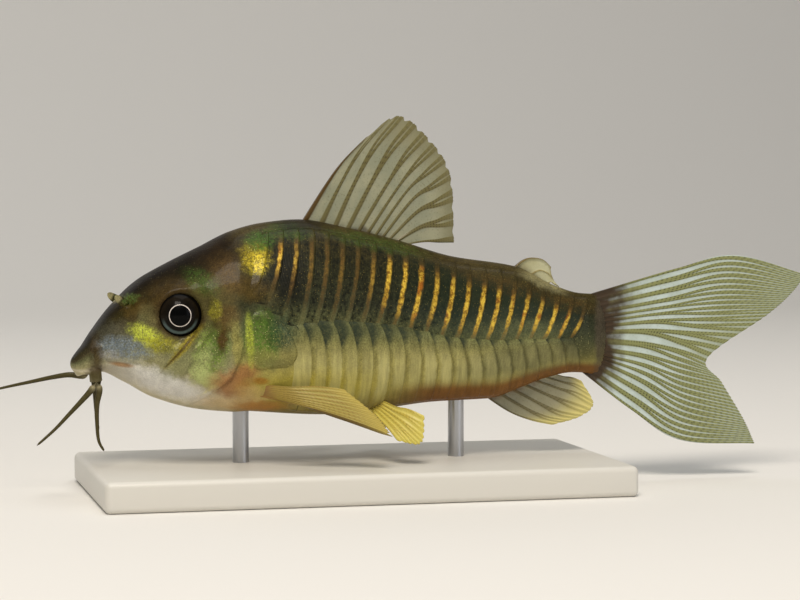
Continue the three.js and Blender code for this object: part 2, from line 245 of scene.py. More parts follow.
def makeStage():
    depth = stage["back"] - stage["front"]
    bpy.ops.mesh.primitive_plane_add(size=1, location=(0, stage["front"] + depth / 2, 0))
    sweep = bpy.context.object
    sweep.name = "paperSweep"
    sweep.scale = (stage["width"], depth, 1)
    bpy.ops.object.transform_apply(location=True, rotation=True, scale=True)
    mesh = bmesh.new()
    mesh.from_mesh(sweep.data)
    nearBack = stage["back"] - 0.01
    rear = [e for e in mesh.edges if all(v.co.y > nearBack for v in e.verts)]
    raised = bmesh.ops.extrude_edge_only(mesh, edges=rear)["geom"]
    for part in raised:
        if isinstance(part, bmesh.types.BMVert):
            part.co.z += stage["height"]
    corner = [e for e in mesh.edges if all(abs(v.co.z) < 1e-4 and v.co.y > nearBack for v in e.verts)]
    bmesh.ops.bevel(mesh, geom=corner, offset=stage["curve"], segments=16, profile=0.5, affect="EDGES")
    mesh.to_mesh(sweep.data)
    mesh.free()
    activate(sweep)
    bpy.ops.object.shade_smooth()
    # matte paper, barely shining
    paper = newMaterial("mattePaper", {
        "Base Color": hexColour(stage["paper"]), "Roughness": 0.85, "Specular IOR Level": 0.2})[0]
    sweep.data.materials.append(paper)


air = {"colour": "#f1f3f6", "strength": 0.2}
softBoxes = {
    "keyPanel": {"place": (-0.10, -0.30, 0.42), "size": 0.20, "power": 2.1, "tint": "#fff6ea"},
    "fillPanel": {"place": (0.36, -0.40, 0.10), "size": 0.30, "power": 0.35, "tint": "#eef3ff"},
    "topPanel": {"place": (0.05, 0.06, 0.46), "size": 0.30, "power": 0.5, "tint": "#ffffff"},
    "rimPanel": {"place": (-0.25, 0.35, 0.25), "size": 0.30, "power": 0.2, "tint": "#ffffff"},
}


def makeLights():
    aim = Vector((0.005, 0, 0.017))
    for name, box in softBoxes.items():
        place = Vector(box["place"])
        facing = (aim - place).to_track_quat("-Z", "Y").to_euler()
        bpy.ops.object.light_add(type="AREA", location=place, rotation=facing)
        lamp = bpy.context.object
        lamp.name = name
        lamp.data.shape = "SQUARE"
        lamp.data.size = box["size"]
        lamp.data.energy = box["power"]
        lamp.data.color = hexColour(box["tint"])[:3]
    world = bpy.data.worlds.new("studioAir")
    bpy.context.scene.world = world
    world.use_nodes = True
    glow = world.node_tree.nodes["Background"]
    glow.inputs["Color"].default_value = hexColour(air["colour"])
    glow.inputs["Strength"].default_value = air["strength"]
    bpy.context.scene.view_settings.view_transform = "Standard"


makeCamera()
makeStage()
makeLights()
print("camera, paper sweep and lights are up")


# the body's lines, in millimetres, the same as the solids' own

body = {
    "snout": -27.7,
    "tailRoot": 27.0,
    "back": [(-27.7, 13.0), (-26.8, 14.6), (-25.8, 16.1), (-23.7, 18.8), (-21.3, 21.05), (-18.2, 22.8),
             (-15.1, 24.3), (-12.0, 25.8), (-9.0, 26.6), (-5.2, 26.95), (0.0, 26.05), (5.2, 24.75),
             (10.4, 23.2), (17.2, 22.1), (21.4, 20.1), (24.2, 19.3), (27.0, 19.2)],
    "belly": [(-27.7, 13.0), (-27.3, 12.3), (-26.2, 12.15), (-24.8, 12.2), (-22.5, 11.15), (-19.8, 9.65),
              (-15.1, 8.35), (-10.0, 7.9), (-2.0, 7.4), (2.1, 7.7), (8.6, 8.4), (14.3, 8.55),
              (17.2, 9.4), (20.4, 10.5), (23.2, 11.0), (27.0, 10.7)],
    "halfWidth": [(-27.7, 0.0), (-26.6, 1.75), (-24.5, 2.8), (-21.5, 4.3), (-17.8, 5.45), (-14.0, 6.35),
                  (-10.0, 6.8), (-6.0, 6.65), (4.0, 5.5), (14.0, 3.8), (21.0, 2.5), (27.0, 1.5)],
    "widestLevel": [(-27.7, 0.5), (-22.0, 0.36), (-14.0, 0.38), (-4.0, 0.36), (14.0, 0.42), (27.0, 0.5)],
    "upperRoundness": [(-27.7, 2.0), (-16.0, 2.15), (-6.0, 1.95), (10.0, 1.9), (27.0, 2.0)],
    "lowerRoundness": [(-27.7, 2.0), (-18.0, 2.3), (-8.0, 2.7), (8.0, 2.6), (20.0, 2.2), (27.0, 2.0)],
}


def smoothLine(points, start=body["snout"]):
    # no overshoot, and rounded where it starts
    along = [math.sqrt(max(x - start, 0)) for x, value in points]
    values = [value for x, value in points]
    slopes = [(values[i + 1] - values[i]) / (along[i + 1] - along[i]) for i in range(len(values) - 1)]
    tangents = [slopes[0]]
    for before, after in zip(slopes, slopes[1:]):
        tangents.append(2 * before * after / (before + after) if before * after > 0 else 0.0)
    tangents.append(slopes[-1])

    def lineAt(x):
        at = math.sqrt(max(x - start, 0))
        i = 0
        while i < len(along) - 2 and at > along[i + 1]:
            i += 1
        step = along[i + 1] - along[i]
        s = min(max((at - along[i]) / step, 0), 1)
        rise = values[i] + (values[i + 1] - values[i]) * s * s * (3 - 2 * s)
        return rise + s * (1 - s) ** 2 * step * tangents[i] - s * s * (1 - s) * step * tangents[i + 1]
    return lineAt


lines = {name: smoothLine(body[name]) for name in body if isinstance(body[name], list)}
sections = {}


def sectionAt(x):
    key = round(x, 3)
    if key not in sections:
        sections[key] = {name: line(key) for name, line in lines.items()}
    return sections[key]


def bodyPoint(x, angle, lift=0.0):
    # angle 0 is the right flank, a quarter turn is the back
    cut = sectionAt(x)
    bottom, top = cut["belly"] - lift, cut["back"] + lift
    level = bottom + (top - bottom) * cut["widestLevel"]
    side, rise = math.cos(angle), math.sin(angle)
    bend = 2 / (cut["upperRoundness"] if rise >= 0 else cut["lowerRoundness"])
    reach = top - level if rise >= 0 else level - bottom
    y = (cut["halfWidth"] + lift) * math.copysign(abs(side) ** bend, side)
    return Vector((x, y, level + reach * math.copysign(abs(rise) ** bend, rise)))


def angleAtShare(x, share):
    # angle at a share of the body's height, 0 belly to 1 back
    cut = sectionAt(x)
    widest = cut["widestLevel"]
    if share >= widest:
        return math.asin(min((share - widest) / (1 - widest), 1) ** (cut["upperRoundness"] / 2))
    return -math.asin(min((widest - share) / widest, 1) ** (cut["lowerRoundness"] / 2))


def heightShare(x, z):
    cut = sectionAt(min(max(x, body["snout"] + 0.2), body["tailRoot"]))
    return (z - cut["belly"]) / (cut["back"] - cut["belly"])


# the fish's markings, one node group for skin and plates alike

markings = {
    "palette": {
        "soot": "#15120b", "umber": "#281c0a", "bark": "#40321a", "bronze": "#4c3d19", "chestnut": "#5c4622",
        "mahogany": "#40190c", "rust": "#754a20", "ember": "#8a5020", "clay": "#97673c", "amber": "#a87434",
        "sand": "#c2a674", "tan": "#8a6436", "straw": "#b8a83e", "gilt": "#a2922a", "lime": "#c5ce4b",
        "mustard": "#948f2a", "khaki": "#8c8648", "sage": "#787a50", "olive": "#65643a", "drab": "#545029",
        "moss": "#5f803e", "leaf": "#58742c", "fern": "#3f5c22", "willow": "#768a3c", "reed": "#adb674",
        "pine": "#354634", "teal": "#323626", "loam": "#46442c", "tarn": "#535438", "slate": "#555444",
        "steel": "#78838a", "ash": "#8f8f8c", "horn": "#968f66", "bone": "#b2ac9c", "cream": "#cfc88a",
        "chalk": "#dcdad4", "wood": "#4e4538",
    },
    # share of the height: colour, for the trunk and for the head
    "trunk": [(0.0, "#7a6936"), (0.14, "#988e4c"), (0.30, "#90884c"), (0.46, "#636540"), (0.60, "#373926"),
              (0.80, "#302f1a"), (1.0, "#443a1e")],
    "head": [(0.0, "#b5ab86"), (0.09, "#c6bca0"), (0.20, "#969068"), (0.45, "#6a6a48"), (0.63, "#463f2a"),
             (0.80, "#2f290f"), (0.96, "#161008")],
    "headEnd": (-13.2, -11.6),
    "rust": {"shares": (-0.05, 0.0, 0.10, 0.19), "from": (1.5, 8.0), "to": (26.0, 27.0), "strength": 0.9},
    # x, z, length, height, tilt in degrees, softness, strength, tone, metal
    "patches": [
        (-25.6, 16.2, 1.7, 1.7, 0, 0.6, 0.7, "soot", 0.0),
        (-25.4, 14.2, 0.55, 1.6, 0, 0.5, 0.85, "bark", 0.0),
        (-25.45, 12.3, 0.75, 0.8, 0, 0.5, 0.9, "bark", 0.0),
        (-23.6, 15.6, 1.7, 1.5, 0, 0.5, 0.6, "slate", 0.0),
        (-22.8, 14.7, 2.3, 1.0, -8, 0.4, 0.85, "steel", 0.3),
        (-24.2, 14.0, 0.9, 0.55, 0, 0.5, 0.7, "ash", 0.3),
        (-22.0, 18.6, 1.2, 1.0, -20, 0.5, 0.65, "bronze", 0.0),
        (-22.2, 19.3, 0.8, 0.45, 20, 0.5, 0.5, "moss", 0.3),
        (-24.0, 19.6, 0.9, 0.7, 0, 0.3, 0.9, "horn", 0.0),
        (-20.6, 17.3, 0.9, 1.3, 0, 0.6, 0.55, "sage", 0.0),
        (-17.9, 17.9, 3.1, 3.1, 0, 0.35, 0.4, "chestnut", 0.0),
        (-17.6, 17.87, 2.4, 2.4, 0, 0.2, 0.75, "umber", 0.0),
        (-20.9, 15.95, 1.5, 0.8, -30, 0.5, 0.95, "lime", 0.4),
        (-19.4, 15.0, 1.9, 0.75, -10, 0.5, 0.8, "mustard", 0.4),
        (-17.5, 14.8, 1.5, 0.7, 15, 0.5, 0.7, "olive", 0.3),
        (-19.3, 11.3, 4.2, 1.1, -22, 0.5, 0.8, "chalk", 0.1),
        (-23.1, 12.3, 1.7, 0.8, -25, 0.6, 0.6, "bone", 0.0),
        (-23.1, 13.1, 1.0, 0.22, -8, 0.5, 0.8, "tan", 0.0),
        (-17.6, 13.2, 2.0, 0.9, 30, 0.6, 0.6, "sage", 0.1),
        (-17.3, 14.95, 2.2, 0.34, 48, 0.5, 0.8, "gilt", 0.4),
        (-17.65, 14.55, 2.3, 0.13, 48, 0.6, 0.9, "bronze", 0.0),
        (-14.6, 19.4, 2.2, 1.7, 0, 0.6, 0.6, "drab", 0.0),
        (-14.9, 14.3, 1.5, 2.6, -15, 0.4, 0.9, "willow", 0.5),
        (-15.9, 13.2, 0.7, 1.7, -25, 0.5, 0.85, "reed", 0.4),
        (-14.5, 15.0, 0.8, 1.3, -10, 0.6, 0.6, "fern", 0.5),
        (-13.9, 15.6, 0.45, 1.2, -10, 0.6, 0.8, "mahogany", 0.0),
        (-13.8, 16.9, 0.9, 0.7, 0, 0.6, 0.7, "bronze", 0.1),
        (-14.4, 11.2, 1.5, 0.16, 38, 0.6, 0.8, "cream", 0.4),
        (-13.4, 17.9, 1.2, 0.9, 0, 0.6, 0.6, "chestnut", 0.1),
        (-15.2, 11.8, 1.4, 0.75, -25, 0.5, 0.8, "reed", 0.2),
        (-12.5, 14.6, 0.55, 2.4, 5, 0.5, 0.8, "khaki", 0.1),
        (-12.7, 11.0, 2.3, 1.2, -15, 0.5, 0.85, "clay", 0.0),
        (-11.6, 12.4, 1.3, 0.8, 0, 0.6, 0.8, "clay", 0.0),
        (-10.4, 10.2, 1.7, 0.8, 0, 0.6, 0.7, "sand", 0.0),
        (-12.6, 9.2, 3.0, 0.8, -5, 0.6, 0.7, "sand", 0.0),
        (-9.8, 8.9, 2.4, 0.6, 0, 0.6, 0.8, "amber", 0.0),
        (-10.1, 15.5, 1.7, 2.5, 0, 0.4, 0.95, "leaf", 0.45),
        (-9.2, 16.4, 0.8, 1.6, 10, 0.6, 0.6, "fern", 0.45),
        (-11.25, 15.4, 0.35, 2.3, 3, 0.5, 0.65, "lime", 0.5),
        (-10.1, 13.8, 1.3, 0.8, 0, 0.6, 0.7, "khaki", 0.3),
        (-8.0, 16.1, 1.3, 1.7, 15, 0.5, 0.8, "pine", 0.3),
        (-8.7, 13.2, 1.3, 0.6, 0, 0.6, 0.6, "olive", 0.2),
        (-10.1, 11.5, 0.75, 0.35, -5, 0.5, 0.95, "ember", 0.0),
        (-10.5, 20.3, 2.0, 1.2, -10, 0.5, 0.85, "bronze", 0.0),
        (-9.0, 19.4, 1.0, 0.8, 0, 0.5, 0.6, "loam", 0.1),
        (-10.3, 23.3, 1.5, 1.5, 35, 0.35, 0.98, "gilt", 0.6),
        (-9.6, 24.9, 1.6, 0.9, 15, 0.4, 0.9, "fern", 0.35),
        (-7.2, 21.6, 1.5, 2.4, 0, 0.6, 0.8, "soot", 0.0),
        (-13.2, 23.6, 2.4, 1.5, 20, 0.6, 0.6, "umber", 0.0),
        (-13.2, 21.5, 1.5, 1.9, 0, 0.6, 0.5, "chestnut", 0.0),
        (-15.5, 21.0, 1.6, 1.0, -30, 0.6, 0.5, "fern", 0.3),
        (-14.4, 18.4, 0.6, 0.9, 0, 0.5, 0.6, "mustard", 0.4),
        (-6.5, 25.8, 2.0, 0.8, -5, 0.5, 0.6, "fern", 0.3),
        (2.0, 24.6, 5.0, 0.7, -12, 0.5, 0.5, "fern", 0.3),
        (-5.0, 26.6, 3.0, 0.9, 0, 0.6, 0.7, "soot", 0.0),
        (-4.5, 10.8, 6.0, 1.5, 0, 0.6, 0.6, "straw", 0.0),
        (17.5, 15.6, 5.0, 1.2, -4, 0.6, 0.7, "sage", 0.3),
        (17.0, 12.8, 6.5, 1.4, 8, 0.6, 0.75, "tarn", 0.1),
        (23.6, 15.0, 2.6, 2.6, 0, 0.5, 0.75, "teal", 0.2),
        (15.5, 20.2, 4.5, 0.7, -14, 0.6, 0.5, "chestnut", 0.3),
        (22.5, 18.2, 3.0, 0.7, -10, 0.6, 0.5, "chestnut", 0.3),
        (20.0, 20.6, 2.4, 0.7, -20, 0.6, 0.6, "horn", 0.0),
        (26.3, 15.0, 0.9, 4.4, 0, 0.5, 0.8, "wood", 0.0),
    ],
    "warp": 0.55,         # how far the edges of patches wander
    "thin": 0.4,          # patches up to this stay crisp
    "gilded": 0.3,        # patches of at least this metal are granular
    "plainMetal": 0.05,
    "glintCellSize": 0.16,    # size of the cells that get pale painted glints
    # noise scale, detail, roughness, and how much it varies the belly and the flank
    "mottles": [(0.9, 5.0, 0.65, 0.12, 0.28), (7.0, 3.0, 0.7, 0.12, 0.45)],
}


def buildMarkings():
    tree = bpy.data.node_groups.new("fishMarkings", "ShaderNodeTree")
    for name, kind in (("Colour", "Color"), ("Metal", "Float"), ("PaintedGlint", "Float")):
        tree.interface.new_socket(name, in_out="OUTPUT", socket_type=f"NodeSocket{kind}")
    # places in millimetres, plain and with a wandering shift
    place = addNode(tree, "ShaderNodeVectorMath", {"operation": "SCALE", "Scale": 1 / mm},
                    {0: objectPlace(tree)}).outputs[0]
    centred = addNode(tree, "ShaderNodeVectorMath", {"operation": "SUBTRACT", 1: (0.5, 0.5, 0.5)},
                      {0: noise(tree, place, 1.3, 3.0, 0.6, "Color")}).outputs[0]
    wander = {"operation": "MULTIPLY_ADD", 1: (markings["warp"] * 2,) * 3}
    warped = addNode(tree, "ShaderNodeVectorMath", wander, {0: centred, 2: place}).outputs[0]
    share = attribute(tree, "rise")
    along = addNode(tree, "ShaderNodeSeparateXYZ", None, {0: warped}).outputs["X"]
    palette = markings["palette"]

    trunk, head = colourRamp(tree, share, markings["trunk"]), colourRamp(tree, share, markings["head"])
    colour = mixed(tree, fading(tree, along, *markings["headEnd"]), trunk, head)
    rust = markings["rust"]
    band = product(tree, eased(tree, along, *rust["from"]), fading(tree, along, *rust["to"]),
                   eased(tree, share, *rust["shares"][:2]), fading(tree, share, *rust["shares"][2:]),
                   rust["strength"])
    colour = mixed(tree, band, colour, palette["rust"])
    plain = addNode(tree, "ShaderNodeValue")
    plain.outputs[0].default_value = markings["plainMetal"]
    metal = plain.outputs[0]
    # gilded places are granular: bright grains over the ground colour
    grains = eased(tree, noise(tree, place, 4.2, 3.0, 0.75), 0.36, 0.58)
    glitter = calc(tree, "MULTIPLY_ADD", grains, 0.75, 0.25)
    for x, z, length, height, tilt, softness, strength, tone, shine in markings["patches"]:
        spot = warped if min(length, height) > markings["thin"] else place
        local = addNode(tree, "ShaderNodeMapping", {
            "vector_type": "TEXTURE", "Location": (x, 0, z), "Rotation": (0, -math.radians(tilt), 0),
            "Scale": (length, 1e4, height)}, {"Vector": spot}).outputs[0]
        fromMiddle = addNode(tree, "ShaderNodeVectorMath", {"operation": "LENGTH"}, {0: local})
        distance = fromMiddle.outputs["Value"]
        mask = product(tree, fading(tree, distance, 1 - softness, 1 + softness), strength)
        if shine >= markings["gilded"]:
            mask = product(tree, mask, glitter)
        colour = mixed(tree, mask, colour, palette[tone])
        metal = addNode(tree, "ShaderNodeMix", {3: shine}, {0: mask, 2: metal}).outputs[0]

    # broad blotches, then fine grain, lighten and darken what is there
    upper = eased(tree, share, 0.1, 0.45)
    for scale, detail, roughness, belly, flank in markings["mottles"]:
        signed = ranged(tree, noise(tree, place, scale, detail, roughness), 0.3, 0.7, -1.0, 1.0)
        depth = ranged(tree, upper, 0.0, 1.0, belly, flank)
        colour = scaled(tree, colour, calc(tree, "MULTIPLY_ADD", signed, depth, 1.0))
    # about one cell in six gets a painted glint, a pale spot standing in for a sparkle of light
    fineness = 1 / markings["glintCellSize"]
    cells = addNode(tree, "ShaderNodeTexVoronoi", {"Scale": fineness}, {"Vector": place}).outputs
    luck = addNode(tree, "ShaderNodeSeparateColor", None, {0: cells["Color"]}).outputs[0]
    paintedGlint = product(tree, eased(tree, luck, 0.80, 0.84), fading(tree, cells["Distance"], 0.18, 0.36))
    addNode(tree, "NodeGroupOutput", None, {"Colour": colour, "Metal": metal, "PaintedGlint": paintedGlint})
    return tree


fishMarkings = buildMarkings()
print("markings are mixed")


wetness = {"Coat Weight": 0.12, "Coat Roughness": 0.1, "Coat IOR": 1.34, "Specular IOR Level": 0.1}


def wetSkin():
    # slimy fish skin: a clear wet coat over fine grain, with pale painted glints on its gilded places
    material, tree, shader = newMaterial("wetFishSkin", {"IOR": 1.38, **wetness})
    marks = addNode(tree, "ShaderNodeGroup", {"node_tree": fishMarkings}).outputs
    place = objectPlace(tree)
    # painted glints: the glint cells turn pale where the skin is gilded, standing in for sparkles of light
    colour = mixed(tree, product(tree, marks["PaintedGlint"], marks["Metal"], 1.8), marks["Colour"], "#d9cf8a")
    broad, fine = noise(tree, place, 900.0), noise(tree, place, 5200.0, 4.0, 0.6)
    horn = mixed(tree, fine, "#2f2b18", "#5a5232")
    wire(tree, shader, {
        "Base Color": mixed(tree, attribute(tree, "feeler"), colour, horn),
        "Metallic": marks["Metal"],
        "Roughness": ranged(tree, broad, 0.0, 1.0, 0.34, 0.58),
        "Normal": bump(tree, fine, 0.45, 0.00004, bump(tree, broad, 0.35, 0.00012))})
    return material


# the last tone of each row is the strength of its painted glints
plateTones = {
    "upper": {"bar": "#12140c", "barTeal": "#15291f", "gold": "#c88f22", "hot": "#a34a16", "pale": "#eccb50",
              "dull": "#6e5226", "paintedGlints": 0.22},
    "lower": {"line": "#4a4427", "cream": "#bdb67c", "wedge": "#263026", "paintedGlints": 0.1},
}


def plateEnamel(row):
    # bony plates under wet skin: dark bars with gilt rear edges above, cream with dark lines below
    tones = plateTones[row]
    material, tree, shader = newMaterial(f"wetPlate{row.capitalize()}", {"IOR": 1.45, **wetness})
    marks = addNode(tree, "ShaderNodeGroup", {"node_tree": fishMarkings}).outputs
    place = objectPlace(tree)
    along, glow, shade = [attribute(tree, name) for name in ("plateAlong", "plateGlow", "plateShade")]
    wavy = calc(tree, "MULTIPLY_ADD", noise(tree, place, 1700.0), 0.22, along)
    mottle = noise(tree, place, 2600.0, 4.0, 0.7)

    def band(low, lowFull, highFull, high):
        return product(tree, eased(tree, wavy, low, lowFull), fading(tree, wavy, highFull, high))

    colour, metal = marks["Colour"], marks["Metal"]
    if row == "upper":
        # bars turn teal toward the tail
        backward = addNode(tree, "ShaderNodeSeparateXYZ", None, {0: place}).outputs["X"]
        teal = ranged(tree, backward, 0.002, 0.018)
        spread = ranged(tree, mottle, 0.35, 0.65)
        bar = mixed(tree, teal, mixed(tree, spread, colour, tones["bar"]), tones["barTeal"])
        colour = mixed(tree, product(tree, shade, band(-0.2, 0.1, 0.62, 0.82)), colour, bar)
        # gold in broken grains, here and there glowing red, dull where it is weak
        gold = mixed(tree, spread, tones["gold"], tones["pale"])
        hotSpots = ranged(tree, noise(tree, place, 620.0, 2.0), 0.56, 0.68, 0.0, 0.8)
        gold = mixed(tree, hotSpots, gold, tones["hot"])
        bright = ranged(tree, glow, 0.35, 0.9)
        gold = mixed(tree, bright, tones["dull"], gold)
        gilt = product(tree, ranged(tree, glow, 0.0, 0.6), ranged(tree, mottle, 0.38, 0.55, 0.35),
                       band(0.7, 0.82, 0.96, 1.08))
        colour = mixed(tree, gilt, colour, gold)
        metal = calc(tree, "MULTIPLY_ADD", product(tree, gilt, bright), 0.5, metal)
    else:
        # upright streaks of slime, cream between the edges, dark wedges hanging from the seam
        stretch = {"Scale": (3000, 600, 350)}
        upright = addNode(tree, "ShaderNodeMapping", stretch, {"Vector": place}).outputs[0]
        colour = mixed(tree, product(tree, glow, band(0.2, 0.5, 0.95, 1.12)), colour, tones["cream"])
        colour = scaled(tree, colour, ranged(tree, noise(tree, upright, 1.0, 2.0), 0.3, 0.7, 0.84, 1.16))
        colour = mixed(tree, product(tree, shade, band(-0.2, 0.0, 0.13, 0.3)), colour, tones["line"])
        reach = calc(tree, "SUBTRACT", attribute(tree, "plateWedge"), wavy)
        hanging = eased(tree, reach, -0.25, 0.22, 0.0, 0.9)
        patchy = ranged(tree, mottle, 0.3, 0.6, 0.55)
        colour = mixed(tree, product(tree, hanging, patchy), colour, tones["wedge"])
    # pale painted glints on the plates, standing in for sparkles of light
    colour = mixed(tree, product(tree, marks["PaintedGlint"], tones["paintedGlints"]), colour, "#b9a14e")
    growthRings = bump(tree, calc(tree, "SINE", product(tree, along, 60.0)), 0.16, 0.00003)
    wire(tree, shader, {
        "Base Color": colour, "Metallic": metal,
        "Roughness": ranged(tree, mottle, 0.0, 1.0, 0.30, 0.52),
        "Normal": bump(tree, noise(tree, place, 5600.0), 0.5, 0.00004, growthRings)})
    return material


# the skin: one closed surface from snout to tail root, with the feelers drawn out of it

skin = {
    "rings": 230, "sides": 300,
    # shares of the rings on the head and up to the tail's end, and those stretches' lengths
    "ringShares": (0.72, 0.93), "ringLengths": (16, 36.7, 2.0),
    "underPlates": 0.20, "onHead": 0.03, "platesFrom": (-12.2, -10.4),
    "eye": (-17.6, 17.87), "eyeDepth": 3.25, "eyeRadius": 2.45, "socket": (1.88, 2.12),
    "gillEdge": [(-13.2, 20.6), (-12.1, 19.4), (-11.75, 16.5), (-12.0, 14.1), (-12.95, 11.9), (-14.7, 10.3),
                 (-17.5, 8.6)],
    "cheekLines": [[(-16.2, 16.2), (-17.4, 14.8), (-19.1, 12.9)],
                   [(-14.7, 17.0), (-16.0, 14.7), (-17.1, 12.2)]],
    "cheekSwell": (-15.3, 14.3), "cheekSize": (1.8, 3.2), "nostril": (-22.3, 18.9),
    "lipCentre": (-26.1, 0.0), "lipSize": (0.85, 1.35), "mouthCorner": (-23, 13.2),
    "lobes": ((-25.3, 14.5), (-25.3, 13.8), (-25.45, 12.2)),
    "tailWedge": (24.2, 27.0), "tailThinning": 1.8, "tailRound": 1.1,
}
# how high each form of the head stands out, or how deep it is, in millimetres
relief = {"gillCover": 0.16, "behindGill": -0.14, "gillGroove": -0.08, "cheekGroove": -0.16,
          "cheekFold": 0.07, "eyeRim": 0.12, "cheek": 0.22, "nostril": -0.35, "lip": 0.42, "mouth": -0.7,
          "lobe": 0.5, "mouthCorner": -0.14}


def ringDistance(s):
    # rings lie close on the head, wide under the plates, close again at the tail's end
    headShare, trunkShare = skin["ringShares"]
    head, trunk, tail = skin["ringLengths"]
    if s < headShare:
        return head * (s / headShare) ** 1.35
    if s < trunkShare:
        t = (s - headShare) / (trunkShare - headShare)
        return head + trunk * (0.17 * t + 0.83 * t * t * (3 - 2 * t))
    return head + trunk + tail * (s - trunkShare) / (1 - trunkShare)


def skinPoint(x, angle):
    # sunk where plates lie over it, but not along the ridge of the back
    share = smoothStep(*skin["platesFrom"], x) * smoothStep(0.985, 0.93, math.sin(angle))
    inset = skin["onHead"] + (skin["underPlates"] - skin["onHead"]) * share
    spot = bodyPoint(x, angle, -min(inset, 0.1 * (x - body["snout"])))
    start, end = skin["tailWedge"]
    if x > start:
        # thins to a blade whose end is rounded, high and low corners furthest forward
        part = (x - start) / (end - start)
        spot.y *= max(1 - part ** skin["tailThinning"], 0.0)
        spot.x -= skin["tailRound"] * part * abs(2 * heightShare(x, spot.z) - 1) ** 2.5
    return spot


def distanceToPath(x, z, path):
    # nearest distance, positive behind the path (toward the tail)
    best, side = 1e9, 1
    for (x0, z0), (x1, z1) in zip(path, path[1:]):
        dx, dz = x1 - x0, z1 - z0
        t = min(max(((x - x0) * dx + (z - z0) * dz) / (dx * dx + dz * dz), 0), 1)
        gap = math.hypot(x - x0 - t * dx, z - z0 - t * dz)
        if gap < best:
            best = gap
            side = 1 if (x - x0) * dz - (z - z0) * dx < 0 else -1
    return best * side


def gillRelief(x, side, z):
    # the gill cover's edge stands over a dip and a groove
    edge = distanceToPath(x, z, skin["gillEdge"])
    strength = smoothStep(20.4, 17.6, z) * smoothStep(1.5, 3.5, side)
    if edge <= 0:
        lift = relief["gillCover"] * math.exp(edge / 0.9)
    else:
        lift = relief["behindGill"] * math.exp(-edge / 0.8)
    return (lift + relief["gillGroove"] * hump(edge, 0.12, 0.16)) * strength


def cheekRelief(x, z):
    lift = 0.0
    for path in skin["cheekLines"]:
        gap = abs(distanceToPath(x, z, path))
        lift += relief["cheekGroove"] * hump(gap, 0, 0.16) + relief["cheekFold"] * hump(gap, 0.42, 0.2)
    fromEye = math.hypot(x - skin["eye"][0], z - skin["eye"][1])
    lift += relief["eyeRim"] * hump(fromEye, skin["eyeRadius"], 0.22)
    (cheekX, cheekZ), (length, height) = skin["cheekSwell"], skin["cheekSize"]
    lift += relief["cheek"] * hump(math.hypot((x - cheekX) / length, (z - cheekZ) / height), 0, 0.8)
    fromNostril = math.hypot(x - skin["nostril"][0], z - skin["nostril"][1])
    return lift + relief["nostril"] * hump(fromNostril, 0, 0.42)


def snoutRelief(x, y, z):
    lift = 0.0
    if z < 13.2:
        ring = math.hypot((x - skin["lipCentre"][0]) / skin["lipSize"][0], y / skin["lipSize"][1])
        lift += relief["lip"] * hump(ring, 1.0, 0.36) + relief["mouth"] * hump(ring, 0, 0.45)
    lobe = abs(distanceToPath(x, z, skin["lobes"]))
    return lift + relief["lobe"] * hump(lobe, 0, 0.5) * smoothStep(0.8, 1.5, abs(y))


def headRelief(x, y, z):
    # how far the skin stands out from the plain form
    lift = 0.0
    side = abs(y)
    if x < -9 and side > 1.5:
        lift += gillRelief(x, side, z)
    if x < -13.5 and side > 2:
        lift += cheekRelief(x, z)
    if x < -23.5:
        lift += snoutRelief(x, y, z)
    if -24.6 < x < -21.5 and z < 14:
        cornerX, cornerZ = skin["mouthCorner"]
        lift += relief["mouthCorner"] * hump(z, cornerZ - 0.1 * (x - cornerX), 0.2)
    return lift


def sinkSocket(spot):
    # the skin dishes gently toward the eye and passes under its rim
    away = math.hypot(spot.x - skin["eye"][0], spot.z - skin["eye"][1])
    if away > 3.8 or abs(spot.y) < 2:
        return
    reach, rimRadius, rimHeight, under = skin["eyeRadius"], 2.1, 0.22, 0.45
    inner, outer = skin["socket"]
    ball = skin["eyeDepth"] + math.sqrt(max(reach * reach - away * away, 0))
    rimLevel = skin["eyeDepth"] + math.sqrt(reach * reach - rimRadius ** 2) + rimHeight
    level = abs(spot.y)
    level += (rimLevel - level) * 0.75 * smoothStep(3.6, 2.2, away)
    level += (ball - under - level) * smoothStep(outer, inner, away)
    spot.y = math.copysign(level, spot.y)


feelers = {
    "lobes": {"left": [(-25.5, -2.05, 12.3), (-25.5, -2.1, 11.8), (-25.45, -2.1, 11.35)],
              "right": [(-25.5, 2.05, 12.6), (-25.6, 2.1, 12.2), (-25.6, 2.15, 11.9)]},
    "lobeRadius": 0.6,
    "front": {"left": [(-26.0, -2.12, 10.55), (-26.9, -2.3, 9.6), (-28.1, -2.55, 8.4), (-29.5, -2.8, 7.0),
                       (-31.3, -3.2, 5.5)],
              "right": [(-26.3, 2.3, 11.65), (-27.6, 2.6, 11.75), (-29.2, 3.0, 11.5), (-31.0, 3.5, 11.1),
                        (-32.8, 4.05, 10.7), (-34.7, 4.6, 10.25)]},
    "rear": {"left": [(-25.15, -2.12, 10.6), (-25.4, -2.2, 9.2), (-25.42, -2.28, 7.6), (-25.3, -2.45, 5.8),
                      (-24.8, -2.7, 4.75)],
             "right": [(-25.2, 2.2, 11.3), (-25.05, 2.3, 10.0), (-24.95, 2.4, 8.4), (-24.85, 2.45, 7.2),
                       (-24.7, 2.5, 6.3)]},
    "radii": (0.40, 0.11),
    "chin": [(-24.95, 0.8, 11.7), (-25.05, 0.95, 11.0), (-25.15, 1.0, 10.3)],
    "chinRadii": (0.24, 0.12),
    "flap": [(-22.6, 2.35, 18.9), (-23.2, 2.55, 19.3), (-23.7, 2.8, 19.7)],
    "flapRadii": (0.42, 0.42), "flapThin": 0.13,
    # rings along each kind
    "lobeSteps": 8, "longSteps": 46, "chinSteps": 14, "flapSteps": 24,
}


